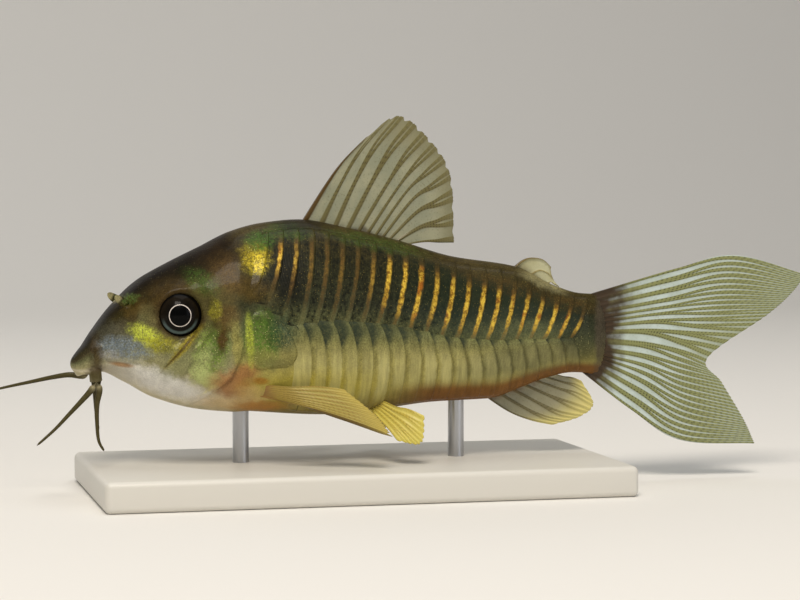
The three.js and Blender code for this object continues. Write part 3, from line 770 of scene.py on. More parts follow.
def openPatch(mesh, centre, radius):
    # take a round patch of faces away and give back its rim, in order
    centre = Vector(centre)
    near = [f for f in mesh.faces if (f.calc_center_median() - centre).length < radius]
    rim = [e for f in near for e in f.edges if sum(g in near for g in e.link_faces) == 1]
    steps = {}
    for edge in rim:
        for vert in edge.verts:
            steps.setdefault(vert, []).append(edge.other_vert(vert))
    ring = [rim[0].verts[0], rim[0].verts[1]]
    while len(ring) < len(rim):
        ring.append(next(v for v in steps[ring[-1]] if v is not ring[-2]))
    bmesh.ops.delete(mesh, geom=near, context="FACES")
    return ring


def growTube(mesh, ring, path, radii, steps, mark, thin=1.0, tone=1.0, tip=0.05):
    # rings of vertices along a path; the first ones ease from the rim's shape to round
    count = len(ring)
    root = sum((v.co for v in ring), Vector()) / count
    points = [root] + [Vector(p) for p in path]
    axis = (points[1] - points[0]).normalized()
    lean = Vector((1, 0, 0.9)) if thin < 1 else Vector((0.3, 1, 0.2))
    first = (lean - axis * axis.dot(lean)).normalized()
    frame = [first, axis.cross(first)]
    offsets = [v.co - root for v in ring]
    angles = [math.atan2(frame[1].dot(o), frame[0].dot(o)) for o in offsets]
    way = 1 if sum(math.sin(b - a) for a, b in zip(angles, angles[1:])) > 0 else -1
    lag = [a - way * math.tau * i / count for i, a in enumerate(angles)]
    base = math.atan2(sum(map(math.sin, lag)), sum(map(math.cos, lag)))
    old = ring
    for step in range(1, steps + 1):
        t = (step / steps) ** 1.25
        spot = curvePoint(points, t)
        ahead = (curvePoint(points, min(t + 0.01, 1)) - curvePoint(points, t - 0.01)).normalized()
        turn = axis.rotation_difference(ahead)
        frame = [turn @ side for side in frame]
        axis = ahead
        radius = radii[0] + (radii[1] - radii[0]) * t ** 0.7
        if t > 1 - tip:
            radius *= math.sqrt(max(1 - ((t - 1 + tip) / tip) ** 2, 0.0)) + 0.05
        ease = smoothStep(0.0, 0.16, t)
        new = []
        for i in range(count):
            a = base + way * math.tau * i / count
            circle = (frame[0] * math.cos(a) + frame[1] * math.sin(a) * thin) * radius
            vert = mesh.verts.new(spot + offsets[i].lerp(circle, ease))
            vert[mark] = smoothStep(0.0, 0.25, t) * tone
            new.append(vert)
        for i in range(count):
            j = (i + 1) % count
            mesh.faces.new((old[i], old[j], new[j], new[i]))
        old = new
    return old


def closeTip(mesh, ring, mark):
    tip = mesh.verts.new(sum((v.co for v in ring), Vector()) / len(ring))
    tip[mark] = ring[0][mark]
    for i, vert in enumerate(ring):
        mesh.faces.new((vert, ring[(i + 1) % len(ring)], tip))


def splitRing(mesh, ring, mark):
    # a bridge across the ring makes two openings, front and rear
    count = len(ring)
    front = min(range(count), key=lambda i: ring[i].co.x)
    ring = ring[front:] + ring[:front]
    quarter = count // 4
    low, high = ring[quarter], ring[3 * quarter]
    bridge = []
    for i in range(1, 5):
        vert = mesh.verts.new(low.co.lerp(high.co, i / 5) + Vector((0, 0, -0.05)))
        vert[mark] = 0.8
        bridge.append(vert)
    rear = ring[quarter:3 * quarter + 1] + bridge[::-1]
    fore = ring[3 * quarter:] + ring[:quarter + 1] + bridge
    return fore, rear


def growFeelers(mesh, side, sign):
    # a lobe at the mouth's corner that forks into two feelers, a chin feeler and a nostril flap
    mark = mesh.verts.layers.float["feeler"]

    def nearestPatch(path, radius):
        root = min((v.co for v in mesh.verts), key=lambda co: (co - Vector(path[0])).length)
        return openPatch(mesh, root.copy(), radius)

    lobe, lobeRadius = feelers["lobes"][side], feelers["lobeRadius"]
    ring = openPatch(mesh, lobe[0], lobeRadius)
    ring = growTube(mesh, ring, lobe[1:], (lobeRadius,) * 2, feelers["lobeSteps"], mark, tone=0.8)
    for opening, kind in zip(splitRing(mesh, ring, mark), ("front", "rear")):
        tip = growTube(mesh, opening, feelers[kind][side], feelers["radii"], feelers["longSteps"], mark)
        closeTip(mesh, tip, mark)
    chin, flap = [[(x, y * sign, z) for x, y, z in feelers[kind]] for kind in ("chin", "flap")]
    ring = nearestPatch(chin, feelers["chinRadii"][0])
    closeTip(mesh, growTube(mesh, ring, chin, feelers["chinRadii"], feelers["chinSteps"], mark), mark)
    ring = nearestPatch(flap, feelers["flapRadii"][0])
    tip = growTube(mesh, ring, flap, feelers["flapRadii"], feelers["flapSteps"], mark,
                   thin=feelers["flapThin"], tone=0.0, tip=0.6)
    closeTip(mesh, tip, mark)


def makeSkin():
    bpy.ops.mesh.primitive_uv_sphere_add(segments=skin["sides"], ring_count=skin["rings"], radius=1,
                                         rotation=(0, -math.pi / 2, 0))
    piece = bpy.context.object
    piece.name = "fishSkin"
    bpy.ops.object.transform_apply(location=True, rotation=True, scale=True)
    mesh = bmesh.new()
    mesh.from_mesh(piece.data)
    for vert in mesh.verts:
        s = math.acos(min(max(-vert.co.x, -1), 1)) / math.pi
        vert.co = skinPoint(body["snout"] + ringDistance(s), math.atan2(vert.co.z, vert.co.y))
    bmesh.ops.recalc_face_normals(mesh, faces=mesh.faces)
    mesh.normal_update()
    for vert in mesh.verts:
        if vert.co.x < -8.5:
            vert.co += vert.normal * headRelief(*vert.co)
    for vert in mesh.verts:
        sinkSocket(vert.co)
    mesh.verts.layers.float.new("feeler")
    for side, sign in (("left", -1), ("right", 1)):
        growFeelers(mesh, side, sign)
    bmesh.ops.recalc_face_normals(mesh, faces=mesh.faces)
    rise = mesh.verts.layers.float.new("rise")
    for vert in mesh.verts:
        vert[rise] = min(max(heightShare(vert.co.x, vert.co.z), 0), 1)
        vert.co *= mm
    mesh.to_mesh(piece.data)
    mesh.free()
    activate(piece)
    bpy.ops.object.shade_smooth()
    nodes = ["head", "gill_cover_left", "gill_cover_right", "trunk", "tail_stem", "mouth"]
    nodes += [f"{name}_{side}" for name in ("barbel_upper", "barbel_lower", "lip_barbel", "nostril_flap")
              for side in ("left", "right")]
    finishPiece(piece, wetSkin(), nodes)


makeSkin()
print("skin is on, with its feelers")


# the bony plates: one blank plate, copied and bent to its place

plates = {
    "count": 22, "first": -8.66, "pitch": 1.588, "sway": 0.28, "swayOver": 21,
    "overlap": 0.8, "thick": 0.13, "topShare": 0.965, "lowAngle": -64, "lastX": 26.4,
    # lift of the front and the rear edge, per row, and for the first plates, whose front edge is tucked in
    "lifts": {"upper": (-0.13, 0.0), "lower": (-0.10, -0.02), "shoulder": (-0.08, 0.01)},
    "firstLifts": {"upper": (-0.4, 0.0), "lower": (-0.25, -0.02)},
    "tuck": {"upper": 0.12, "lower": -0.04},
    "lowerFirst": 3, "lowerBehind": 2.0, "upperBend": -2.0,
    # along the body: where the rows meet, as a share of its height
    "seam": [(-12, 0.72), (-9, 0.60), (-6, 0.47), (-1.3, 0.505), (4, 0.497), (9, 0.45), (14.5, 0.44),
             (20, 0.41), (25.7, 0.47)],
    # top of the gilding, its strength, the share where it is brightest, and how far it reaches
    "giltTop": [(-8.7, 0.91), (9.0, 0.89), (10.7, 0.865), (16.0, 0.82), (24.0, 0.80)],
    "giltPower": [(-9.0, 0.7), (-6.5, 0.5), (-4.5, 0.32), (-1.0, 0.36), (2.0, 0.6), (4.0, 1.0), (11.0, 1.2),
                  (15.0, 1.2), (21.0, 1.2), (24.5, 0.7)],
    "giltPeak": [(-9.0, 0.84), (-3.0, 0.76), (4.0, 0.72), (10.0, 0.68), (15.0, 0.65), (21.0, 0.62),
                 (25.0, 0.58)],
    "giltSpan": [(-9.0, 0.12), (-3.0, 0.2), (4.0, 0.18), (10.0, 0.19), (15.0, 0.17), (21.0, 0.15),
                 (25.0, 0.14)],
    # strength of the dark bars, of the cream, of the lines below and of the wedges
    "barPower": [(-9.0, 0.8), (-7.0, 1.0), (-3.0, 1.0), (7.0, 0.95), (12.0, 0.65), (18.0, 0.42),
                 (24.0, 0.35)],
    "creamPower": [(-6.0, 0.42), (4.0, 0.5), (10.0, 0.45), (16.0, 0.2), (24.0, 0.1)],
    "linePower": [(-6.0, 0.1), (0.0, 0.2), (10.0, 0.42), (24.0, 0.6)],
    "wedgeDown": [(-7.0, 0.0), (-4.0, 0.68), (2.0, 0.5), (6.0, 0.38), (12.0, 0.38), (24.0, 0.42)],
    # how far back a lower plate's edge lies, by the distance below the seam
    "lowerShift": [(0.0, 0.0), (0.8, 0.45), (1.7, 0.7), (3.0, 1.0), (5.0, 1.0), (8.0, 0.7)],
    "humeralFront": [(-10.7, 12.2), (-11.25, 12.9), (-11.4, 15.0), (-11.5, 17.3), (-11.1, 18.2)],
    "humeralRear": [(-6.4, 13.0), (-6.5, 14.2), (-7.2, 15.9), (-8.1, 17.3), (-9.6, 18.5)],
}


def valueAlong(points, x):
    for (x0, v0), (x1, v1) in zip(points, points[1:]):
        if x <= x1 or (x1, v1) == points[-1]:
            return v0 + (v1 - v0) * min(max((x - x0) / (x1 - x0), 0), 1)


def plateTop(k):
    sway = plates["sway"] * math.sin(math.tau * k / plates["swayOver"])
    return plates["first"] + plates["pitch"] * k - sway


def blankPlate():
    # one flat plate; on its map the outer face and rim fill the left part, the back a strip at the right
    bpy.ops.mesh.primitive_grid_add(x_subdivisions=16, y_subdivisions=26, size=1, location=(0.5, 0.5, 0))
    blank = bpy.context.object
    blank.name = "blankPlate"
    bpy.ops.object.transform_apply(location=True, rotation=True, scale=True)
    bpy.ops.object.modifier_add(type="SOLIDIFY")
    blank.modifiers[-1].thickness = 1.0
    blank.modifiers[-1].offset = -1
    bpy.ops.object.modifier_apply(modifier=blank.modifiers[-1].name)
    bake = blank.data.uv_layers.active or blank.data.uv_layers.new()
    bake.name = "OFBake"
    for face in blank.data.polygons:
        heights = [blank.data.vertices[i].co.z for i in face.vertices]
        for loop in face.loop_indices:
            x, y, z = blank.data.vertices[blank.data.loops[loop].vertex_index].co
            if max(heights) < -0.5:
                bake.data[loop].uv = (0.86 + 0.12 * x, 0.02 + 0.96 * y)
            else:
                grow = 0.92 + 0.06 * -z
                bake.data[loop].uv = (0.42 + (x - 0.5) * grow * 0.82, 0.5 + (y - 0.5) * grow)
    return blank


def upperPlace(k, u, v, luck):
    middle = min(max(plateTop(k) - 1.0, -27), 26)
    seam = valueAlong(plates["seam"], middle - 1.0) - 0.012
    low, high = angleAtShare(middle, seam), angleAtShare(middle, plates["topShare"])
    share = heightShare(middle, bodyPoint(middle, low + (high - low) * v).z)
    q = min(max((share - seam) / (plates["topShare"] - seam), 0.0), 1.0)
    bend = plates["upperBend"] * (1 - q) ** 1.6
    wave = 0.05 * math.sin(9 * v + luck * 40) + 0.12 * (luck - 0.5)
    rear = plateTop(k) + bend + wave
    front = plateTop(k - 1) + bend - plates["overlap"]
    x = front + (rear - front) * u
    along = (x - plateTop(k - 1) - bend) / (plateTop(k) - plateTop(k - 1))
    return x, share, along


def lowerPlace(k, u, v, luck):
    cusp, before = [plateTop(i) - plates["lowerBehind"] for i in (k, k - 1)]
    middle = min(max(cusp + 0.3, -27), 26)
    seam = valueAlong(plates["seam"], cusp) + 0.01
    high, low = angleAtShare(middle, seam), math.radians(plates["lowAngle"])
    share = heightShare(middle, bodyPoint(middle, low + (high - low) * v).z)
    cut = sectionAt(middle)
    below = max(seam - share, 0) * (cut["back"] - cut["belly"])
    bend = valueAlong(plates["lowerShift"], below)
    wave = 0.05 * math.sin(7 * v + luck * 40) + 0.1 * (luck - 0.5)
    rear = cusp + bend + wave
    front = before + bend - plates["overlap"]
    x = front + (rear - front) * u
    along = (x - before - bend) / (cusp - before)
    return x, share, along if k > plates["lowerFirst"] else max(along, 0.35)


def humeralPlace(k, u, v, luck):
    front = curvePoint([Vector(p) for p in plates["humeralFront"]], v)
    rear = curvePoint([Vector(p) for p in plates["humeralRear"]], v)
    # narrower toward top and bottom, so its corners are round
    width = 0.4 + 0.6 * math.sqrt(1 - abs(2 * v - 1) ** 3)
    spot = front.lerp(rear, 0.5 + (u - 0.5) * width)
    return spot.x, heightShare(spot.x, spot.y), u


def upperTones(x, share, luck):
    # how gilt the rear edge is, how dark the bar, no wedge
    top = valueAlong(plates["giltTop"], x)
    peak = hump(share, valueAlong(plates["giltPeak"], x), valueAlong(plates["giltSpan"], x))
    gilt = valueAlong(plates["giltPower"], x) * (0.75 + 0.5 * luck) * (0.04 + 0.96 * peak)
    bar = valueAlong(plates["barPower"], x) * smoothStep(0.38, 0.48, share)
    return gilt * smoothStep(top + 0.02, top - 0.03, share), bar * smoothStep(top + 0.07, top, share), 0.0


def lowerTones(x, share, luck):
    # cream and line, both fading at the belly's edge, and the wedge near the seam
    low, high = (0.10, 0.2) if x > 3 else (0.03, 0.14)
    edge = smoothStep(low, high, share)
    cream = valueAlong(plates["creamPower"], x) * (0.7 + 0.6 * luck) * smoothStep(0.42, 0.28, share)
    line = valueAlong(plates["linePower"], x) * smoothStep(0.05, 0.3, share)
    wedge = (valueAlong(plates["wedgeDown"], x) + 0.45) * smoothStep(0.30, 0.48, share)
    return cream * edge, line * edge, wedge


def edgeDrop(u, v, place, tuck):
    # how far a plate's rim bends inward; the tucked end goes under its neighbour
    if place is humeralPlace:
        return 0.16 * smoothStep(0.7, 1.0, max(abs(2 * u - 1), abs(2 * v - 1)))
    drop = 0.06 * max(0, (u - 0.93) / 0.07) ** 2 + 0.05 * max(0, (abs(v - 0.5) - 0.47) / 0.03) ** 2
    if tuck > 0:
        return drop + tuck * smoothStep(0.12, 0.0, v) + 0.08 * smoothStep(0.86, 1.0, v)
    return drop - tuck * smoothStep(0.12, 0.0, 1 - v)


def bendPlate(blank, place, k, sign, luck, lifts, tuck=0.0):
    plate = blank.copy()
    plate.data = blank.data.copy()
    bpy.context.collection.objects.link(plate)
    # the first upper plate is plain, so that the shoulder's gold shows on it
    tones = {upperPlace: upperTones if k else None, lowerPlace: lowerTones}.get(place)
    marks = {name: [] for name in ("plateAlong", "plateGlow", "plateShade", "plateWedge", "rise")}
    start, end = skin["tailWedge"]
    for vert in plate.data.vertices:
        u, v, depth = vert.co
        u = u ** 0.85
        x, share, along = place(k, u, v, luck)
        x = min(x, plates["lastX"])
        share = min(max(share, 0.0), 0.995)
        lift = lifts[0] + (lifts[1] - lifts[0]) * u - edgeDrop(u, v, place, tuck) + depth * plates["thick"]
        spot = bodyPoint(x, angleAtShare(x, share), lift)
        if x > start:
            spot.y *= max(1 - 0.95 * ((x - start) / (end - start)) ** skin["tailThinning"], 0.0)
        spot.y *= sign
        vert.co = spot * mm
        glow, shade, wedge = tones(x, share, luck) if tones else (0.0, 0.0, 0.0)
        for name, value in zip(marks, (along, glow, shade, wedge - 0.3, share)):
            marks[name].append(value)
    for name, values in marks.items():
        addAttribute(plate.data, name, values)
    return plate


def joinPlates(parts, name, material):
    # each plate keeps its own cell of the bake map
    across = math.ceil(math.sqrt(len(parts)))
    for i, plate in enumerate(parts):
        column, row = i % across, i // across
        for point in plate.data.uv_layers["OFBake"].data:
            point.uv = ((point.uv[0] + column) / across, (point.uv[1] + row) / across)
    bpy.ops.object.select_all(action="DESELECT")
    for plate in parts:
        plate.select_set(True)
    bpy.context.view_layer.objects.active = parts[0]
    bpy.ops.object.join()
    piece = bpy.context.object
    piece.name = name
    piece.data.name = name
    bpy.ops.object.mode_set(mode="EDIT")
    bpy.ops.mesh.select_all(action="SELECT")
    bpy.ops.mesh.normals_make_consistent(inside=False)
    bpy.ops.object.mode_set(mode="OBJECT")
    bpy.ops.object.shade_smooth()
    finishPiece(piece, material, ())


def makePlates():
    chance = random.Random(5)
    blank = blankPlate()
    rows = {"upper": (upperPlace, 0), "lower": (lowerPlace, plates["lowerFirst"])}
    enamels = {row: plateEnamel(row) for row in rows}
    for side, sign in (("Left", -1), ("Right", 1)):
        for row, (place, first) in rows.items():
            parts = []
            for k in range(first, plates["count"]):
                lifts = plates["lifts" if k > first else "firstLifts"][row]
                parts.append(bendPlate(blank, place, k, sign, chance.random(), lifts, plates["tuck"][row]))
            joinPlates(parts, f"plates{row.capitalize()}{side}", enamels[row])
        shoulder = bendPlate(blank, humeralPlace, 0, sign, 0.5, plates["lifts"]["shoulder"])
        joinPlates([shoulder], f"shoulderPlate{side}", bpy.data.materials["wetFishSkin"])
    bpy.data.objects.remove(blank)


makePlates()
print("plates are laid")


# fins: sheets over their guide rays, thick along each ray

fins = {
    "dorsalFin": {"nodes": ["dorsal_fin"], "slot": "fin", "rays": 11, "spine": 1, "columns": 170, "rows": 80,
                  "crowding": 1.22,
                  "guides": [[(-5.3, 0, 25.9), (-2.5, 0, 30.2), (-0.7, 0, 32.6), (1.7, 0, 35.0)],
                             [(-2.2, 0, 25.0), (0.1, 0, 30.1), (2.3, 0, 34.0), (5.0, 0, 37.2)],
                             [(0.7, 0, 24.8), (4.1, 0, 30.1), (6.0, 0, 32.8), (8.1, 0, 35.0)],
                             [(2.8, 0, 24.3), (6.4, 0, 28.7), (8.5, 0, 30.1), (10.4, 0, 31.3)],
                             [(4.6, 0, 24.1), (7.5, 0, 24.55), (9.3, 0, 24.5), (10.8, 0, 24.5)]]},
    "adiposeFin": {"nodes": ["adipose_fin"], "slot": "fin", "rays": 3, "spine": 1, "columns": 40, "rows": 40,
                   "guides": [[(16.6, 0, 21.6), (18.3, 0, 22.8), (19.9, 0, 22.8), (21.0, 0, 21.95)],
                              [(18.2, 0, 20.8), (19.6, 0, 21.6), (20.5, 0, 21.4), (21.2, 0, 20.8)],
                              [(20.0, 0, 19.8), (20.9, 0, 20.4), (21.3, 0, 20.2), (21.9, 0, 19.9)]]},
    "caudalFin": {"nodes": ["caudal_fin_upper", "caudal_fin_lower"], "slot": "fin", "rays": 16, "spine": 0,
                  "columns": 280, "rows": 110, "ragged": 0.35, "bothEdges": 1.6,
                  "guides": [[(24.8, 0, 19.05), (34.6, 0, 21.7), (40.9, 0, 23.0), (48.9, 0, 20.9)],
                             [(25.7, 0, 17.2), (33.3, 0, 18.4), (39.6, 0, 19.4), (47.2, 0, 18.9)],
                             [(26.0, 0, 16.0), (32.4, 0, 16.6), (38.0, 0, 16.6), (44.5, 0, 16.7)],
                             [(26.0, 0, 14.9), (31.1, 0, 14.55), (35.0, 0, 13.55), (38.0, 0, 12.4)],
                             [(26.0, 0, 13.3), (31.0, 0, 12.3), (35.0, 0, 10.9), (39.6, 0, 9.8)],
                             [(26.0, 0, 12.4), (30.8, 0, 10.2), (35.4, 0, 7.6), (42.0, 0, 6.0)],
                             [(24.4, 0, 11.15), (29.7, 0, 7.2), (35.0, 0, 3.95), (43.3, 0, 3.35)]]},
    "analFin": {"nodes": ["anal_fin"], "slot": "fin", "rays": 7, "spine": 0, "columns": 90, "rows": 60,
                "guides": [[(13.4, 0, 9.4), (16.4, 0, 7.4), (18.8, 0, 6.4), (21.2, 0, 5.85)],
                           [(15.8, 0, 10.2), (19.3, 0, 8.35), (21.8, 0, 7.1), (24.1, 0, 6.6)],
                           [(18.0, 0, 10.9), (21.5, 0, 9.7), (23.6, 0, 9.0), (25.6, 0, 7.9)],
                           [(20.0, 0, 11.5), (22.3, 0, 10.85), (23.3, 0, 10.7), (24.3, 0, 10.3)]]},
    "pectoralFin": {"nodes": ["pectoral_fin"], "slot": "fin_yellow", "rays": 9, "spine": 1, "columns": 90,
                    "rows": 60, "paired": True,
                    "guides": [[(-10.4, -4.6, 10.2), (-6.2, -8.2, 9.1), (-2.2, -9.8, 7.8), (1.8, -10.6, 6.3)],
                               [(-10.3, -5.0, 10.6), (-6.6, -7.8, 9.9), (-2.9, -8.8, 9.1), (0.6, -9.3, 8.2)],
                               [(-10.2, -5.4, 11.1), (-7.3, -7.3, 11.0), (-4.9, -7.8, 11.0),
                                (-2.3, -8.1, 10.7)]]},
    "pelvicFin": {"nodes": ["pelvic_fin"], "slot": "fin_yellow", "rays": 6, "spine": 0, "columns": 80,
                  "rows": 50, "paired": True,
                  "guides": [[(0.9, -2.0, 9.0), (1.9, -4.2, 7.5), (2.6, -5.6, 6.5), (3.3, -6.6, 5.4)],
                             [(1.4, -2.7, 9.2), (3.0, -4.9, 7.8), (4.1, -6.3, 6.7), (5.5, -7.4, 5.2)],
                             [(1.9, -3.3, 9.5), (3.4, -5.0, 8.7), (4.7, -6.0, 8.4), (6.0, -6.8, 7.8)]]},
}
# where along a ray it splits, and how wide
forkLength = 0.55
forks = {"dorsalFin": [(0.3, 0.16), (0.6, 0.08)], "adiposeFin": [(0.5, 0.1), (0.8, 0.05)],
         "caudalFin": [(0.12, 0.25), (0.4, 0.125)], "analFin": [(0.3, 0.22), (0.6, 0.1)],
         "pectoralFin": [(0.4, 0.22), (0.75, 0.1)], "pelvicFin": [(0.4, 0.22), (0.75, 0.1)]}
# thickness of the membrane, of the rays at root and tip, and of a spine
finThickness = {"sheet": 0.12, "rayRoot": 0.24, "rayTip": 0.12, "spineRoot": 0.34, "spineTip": 0.14}


def rayNumber(plan, u):
    # rays stand closer toward the rear edge, or toward both edges
    if "bothEdges" in plan:
        s = 2 * u - 1
        u = 0.5 * u + 0.5 * (0.5 + 0.5 * math.copysign(abs(s) ** plan["bothEdges"], s))
    return u ** plan.get("crowding", 1.0) * (plan["rays"] - 1)


def rayOffset(ray, run, spine, forking):
    # distance from the nearest branch, in spacings between rays
    offset = abs(ray - round(ray))
    if round(ray) < spine:
        return offset
    for start, width in forking:
        offset = abs(offset - width * smoothStep(start, start + forkLength, run))
    return offset


def finTissue(name, tones, forking):
    # clear membrane on jointed horny rays that split toward the rim
    material, tree, shader = newMaterial(name, {
        "IOR": 1.42, "Coat Weight": 0.15, "Coat Roughness": 0.15, "Specular IOR Level": 0.25})
    place = objectPlace(tree)
    rays = addNode(tree, "ShaderNodeUVMap", {"uv_map": "rays"}).outputs[0]
    grid = addNode(tree, "ShaderNodeSeparateXYZ", None, {0: rays}).outputs
    ray, run = grid["X"], grid["Y"]
    gap, spine, reach = [attribute(tree, title) for title in ("gap", "spine", "reach")]
    speckle, cloud = noise(tree, place, 5200.0, 4.0, 0.75), noise(tree, place, 380.0)

    def awayFrom(value, centre):
        return calc(tree, "ABSOLUTE", calc(tree, "SUBTRACT", value, centre))

    # the same branching as the sheet's own ridges, in widths of a ray
    offset = awayFrom(ray, calc(tree, "ROUND", ray))
    soft = calc(tree, "SUBTRACT", 1.0, spine)
    for start, width in forking:
        spread = eased(tree, run, start, start + forkLength, 0.0, width)
        offset = awayFrom(offset, product(tree, spread, soft))
    rayWidth = eased(tree, run, 0.0, 1.0, tones["rayWide"], tones["rayFine"])
    share = calc(tree, "DIVIDE", product(tree, offset, gap), rayWidth)
    onRay = fading(tree, share, 0.6, 1.1)
    # joints of neighbouring rays fall at different heights, in two rows, as each ray is a pair of rods
    half = calc(tree, "ROUND", product(tree, ray, 2.0))
    uneven = product(tree, calc(tree, "FRACT", product(tree, half, 0.37)), math.tau)
    joints = calc(tree, "SINE", calc(tree, "MULTIPLY_ADD", reach, math.tau / tones["joint"], uneven))
    dashes = product(tree, eased(tree, joints, -0.2, 0.9), eased(tree, run, 0.12, 0.3),
                     fading(tree, awayFrom(share, 0.5), 0.12, 0.38), 0.8)

    clouds = eased(tree, cloud, 0.35, 0.65, 0.0, 0.6)
    membrane = mixed(tree, clouds, tones["membrane"], tones["membraneDeep"])
    membrane = mixed(tree, eased(tree, speckle, 0.52, 0.72, 0.0, 0.55), membrane, tones["speck"])
    horn = mixed(tree, dashes, tones["ray"], tones["joints"])
    horn = mixed(tree, eased(tree, speckle, 0.55, 0.7, 0.0, 0.5), horn, tones["joints"])
    horn = mixed(tree, spine, horn, tones["spine"])
    colour = mixed(tree, onRay, membrane, horn)
    rim = product(tree, eased(tree, run, tones["rimFrom"], 1.0, 0.0, tones["rimPower"]),
                  eased(tree, share, 0.3, 1.3, 0.55, 1.0))
    colour = mixed(tree, rim, colour, tones["rim"])
    ragged = calc(tree, "MULTIPLY_ADD", calc(tree, "SUBTRACT", noise(tree, place, 900.0), 0.5), 0.16, run)
    root = eased(tree, ragged, *tones["rootTo"], tones["rootPower"], 0.0)
    wire(tree, shader, {
        "Base Color": mixed(tree, root, colour, tones["root"]),
        "Alpha": calc(tree, "MAXIMUM", ranged(tree, onRay, 0.0, 1.0, tones["alpha"], 1.0), root),
        "Roughness": eased(tree, cloud, 0.3, 0.7, 0.35, 0.55),
        "Normal": bump(tree, speckle, 0.4, 0.00004)})
    return material


# what a fin's own list doesn't change
sharedTones = {"rootPower": 0.9, "rootTo": (0.05, 0.2), "rimFrom": 0.7, "rimPower": 0.8, "joint": 0.5}
finTones = {
    "dorsalFin": {"membrane": "#a3a283", "membraneDeep": "#858a72", "speck": "#69674a", "ray": "#67603a",
                  "joints": "#463e24", "spine": "#553f14", "rim": "#7d7750", "root": "#3d3014",
                  "rootTo": (0.02, 0.1), "rimFrom": 0.55, "rimPower": 0.7, "rayWide": 0.24, "rayFine": 0.17,
                  "alpha": 0.78},
    "adiposeFin": {"membrane": "#c4c29c", "membraneDeep": "#aea878", "speck": "#8f8860", "ray": "#9d9262",
                   "joints": "#786a3c", "spine": "#7a6a3a", "rim": "#8d8150", "root": "#5a4a24",
                   "rootPower": 0.8, "rootTo": (0.05, 0.3), "rimFrom": 0.85, "rayWide": 0.14,
                   "rayFine": 0.08, "alpha": 0.85},
    "caudalFin": {"membrane": "#d3e2dc", "membraneDeep": "#bac8bb", "speck": "#9da283", "ray": "#878a58",
                  "joints": "#2f3019", "spine": "#74734a", "rim": "#989c6a", "root": "#3d2f1e",
                  "rootPower": 1.0, "rootTo": (0.06, 0.22), "rimFrom": 0.45, "rimPower": 0.5,
                  "rayWide": 0.26, "rayFine": 0.16, "joint": 0.3, "alpha": 0.72},
    "analFin": {"membrane": "#9c9877", "membraneDeep": "#8b8666", "speck": "#7d7650", "ray": "#6f6848",
                "joints": "#514a30", "spine": "#6c6240", "rim": "#f2e488", "root": "#6a4a22",
                "rimFrom": 0.45, "rimPower": 0.95, "rayWide": 0.2, "rayFine": 0.12, "joint": 0.35,
                "alpha": 0.8},
    "pectoralFin": {"membrane": "#b7a85e", "membraneDeep": "#a8994c", "speck": "#94803c", "ray": "#9c8740",
                    "joints": "#735d28", "spine": "#6f5a28", "rim": "#c6b25a", "root": "#8e6c3c",
                    "rayWide": 0.15, "rayFine": 0.09, "joint": 0.45, "alpha": 0.9},
    "pelvicFin": {"membrane": "#dacd68", "membraneDeep": "#cdbb50", "speck": "#ab9c48", "ray": "#bfac4a",
                  "joints": "#94802c", "spine": "#a08a34", "rim": "#ddd068", "root": "#8a7436",
                  "rayWide": 0.14, "rayFine": 0.09, "joint": 0.4, "alpha": 0.88},
}


def shapeSheet(mesh, plan, guides, forking):
    # bend the flat sheet over its guides; give each point its ridge, and what the tissue reads
    layer = mesh.uv_layers.active
    layer.name = "rays"
    places = [vert.co.copy() for vert in mesh.vertices]
    for loop, point in zip(mesh.loops, layer.data):
        u, v = places[loop.vertex_index][:2]
        point.uv = (rayNumber(plan, u), v)
    marks = {"gap": [], "spine": [], "reach": []}
    thickness, rows = [], {}
    middle = guides[len(guides) // 2]
    for vert, place in zip(mesh.vertices, places):
        u, v = place.x, place.y
        key = round(v, 5)
        if key not in rows:
            row = [curvePoint(guide, v) for guide in guides]
            across = sum((b - a).length for a, b in zip(row, row[1:]))
            steps = [curvePoint(middle, v * i / 8) for i in range(9)]
            reach = sum((b - a).length for a, b in zip(steps, steps[1:]))
            rows[key] = (row, across / (plan["rays"] - 1), reach)
        row, spacing, reach = rows[key]
        spot = curvePoint(row, u)
        ray = rayNumber(plan, u)
        away = rayOffset(ray, v, plan["spine"], forking) * spacing
        if v > 0.9:
            # the membrane falls back a little between the ray tips
            notch = min(rayOffset(ray, 1.0, plan["spine"], forking) * 4, 1)
            pull = curvePoint([curvePoint(guide, v - 0.03) for guide in guides], u) - spot
            spot += pull * notch * smoothStep(0.9, 1.0, v) * plan.get("ragged", 1.0)
        vert.co = spot * mm
        onSpine = round(ray) < plan["spine"]
        for name, value in zip(marks, (spacing, float(onSpine), reach)):
            marks[name].append(value)
        size = finThickness
        thick = size["sheet"] + (size["rayRoot"] - size["rayTip"] * v) * hump(away, 0, 0.16)
        if onSpine:
            thick += (size["spineRoot"] - (size["spineRoot"] - size["spineTip"]) * v) * hump(away, 0, 0.26)
        thickness.append(min(thick * smoothStep(1.04, 0.9, v) + 0.03, 0.8))
    for name, values in marks.items():
        addAttribute(mesh, name, values)
    return thickness


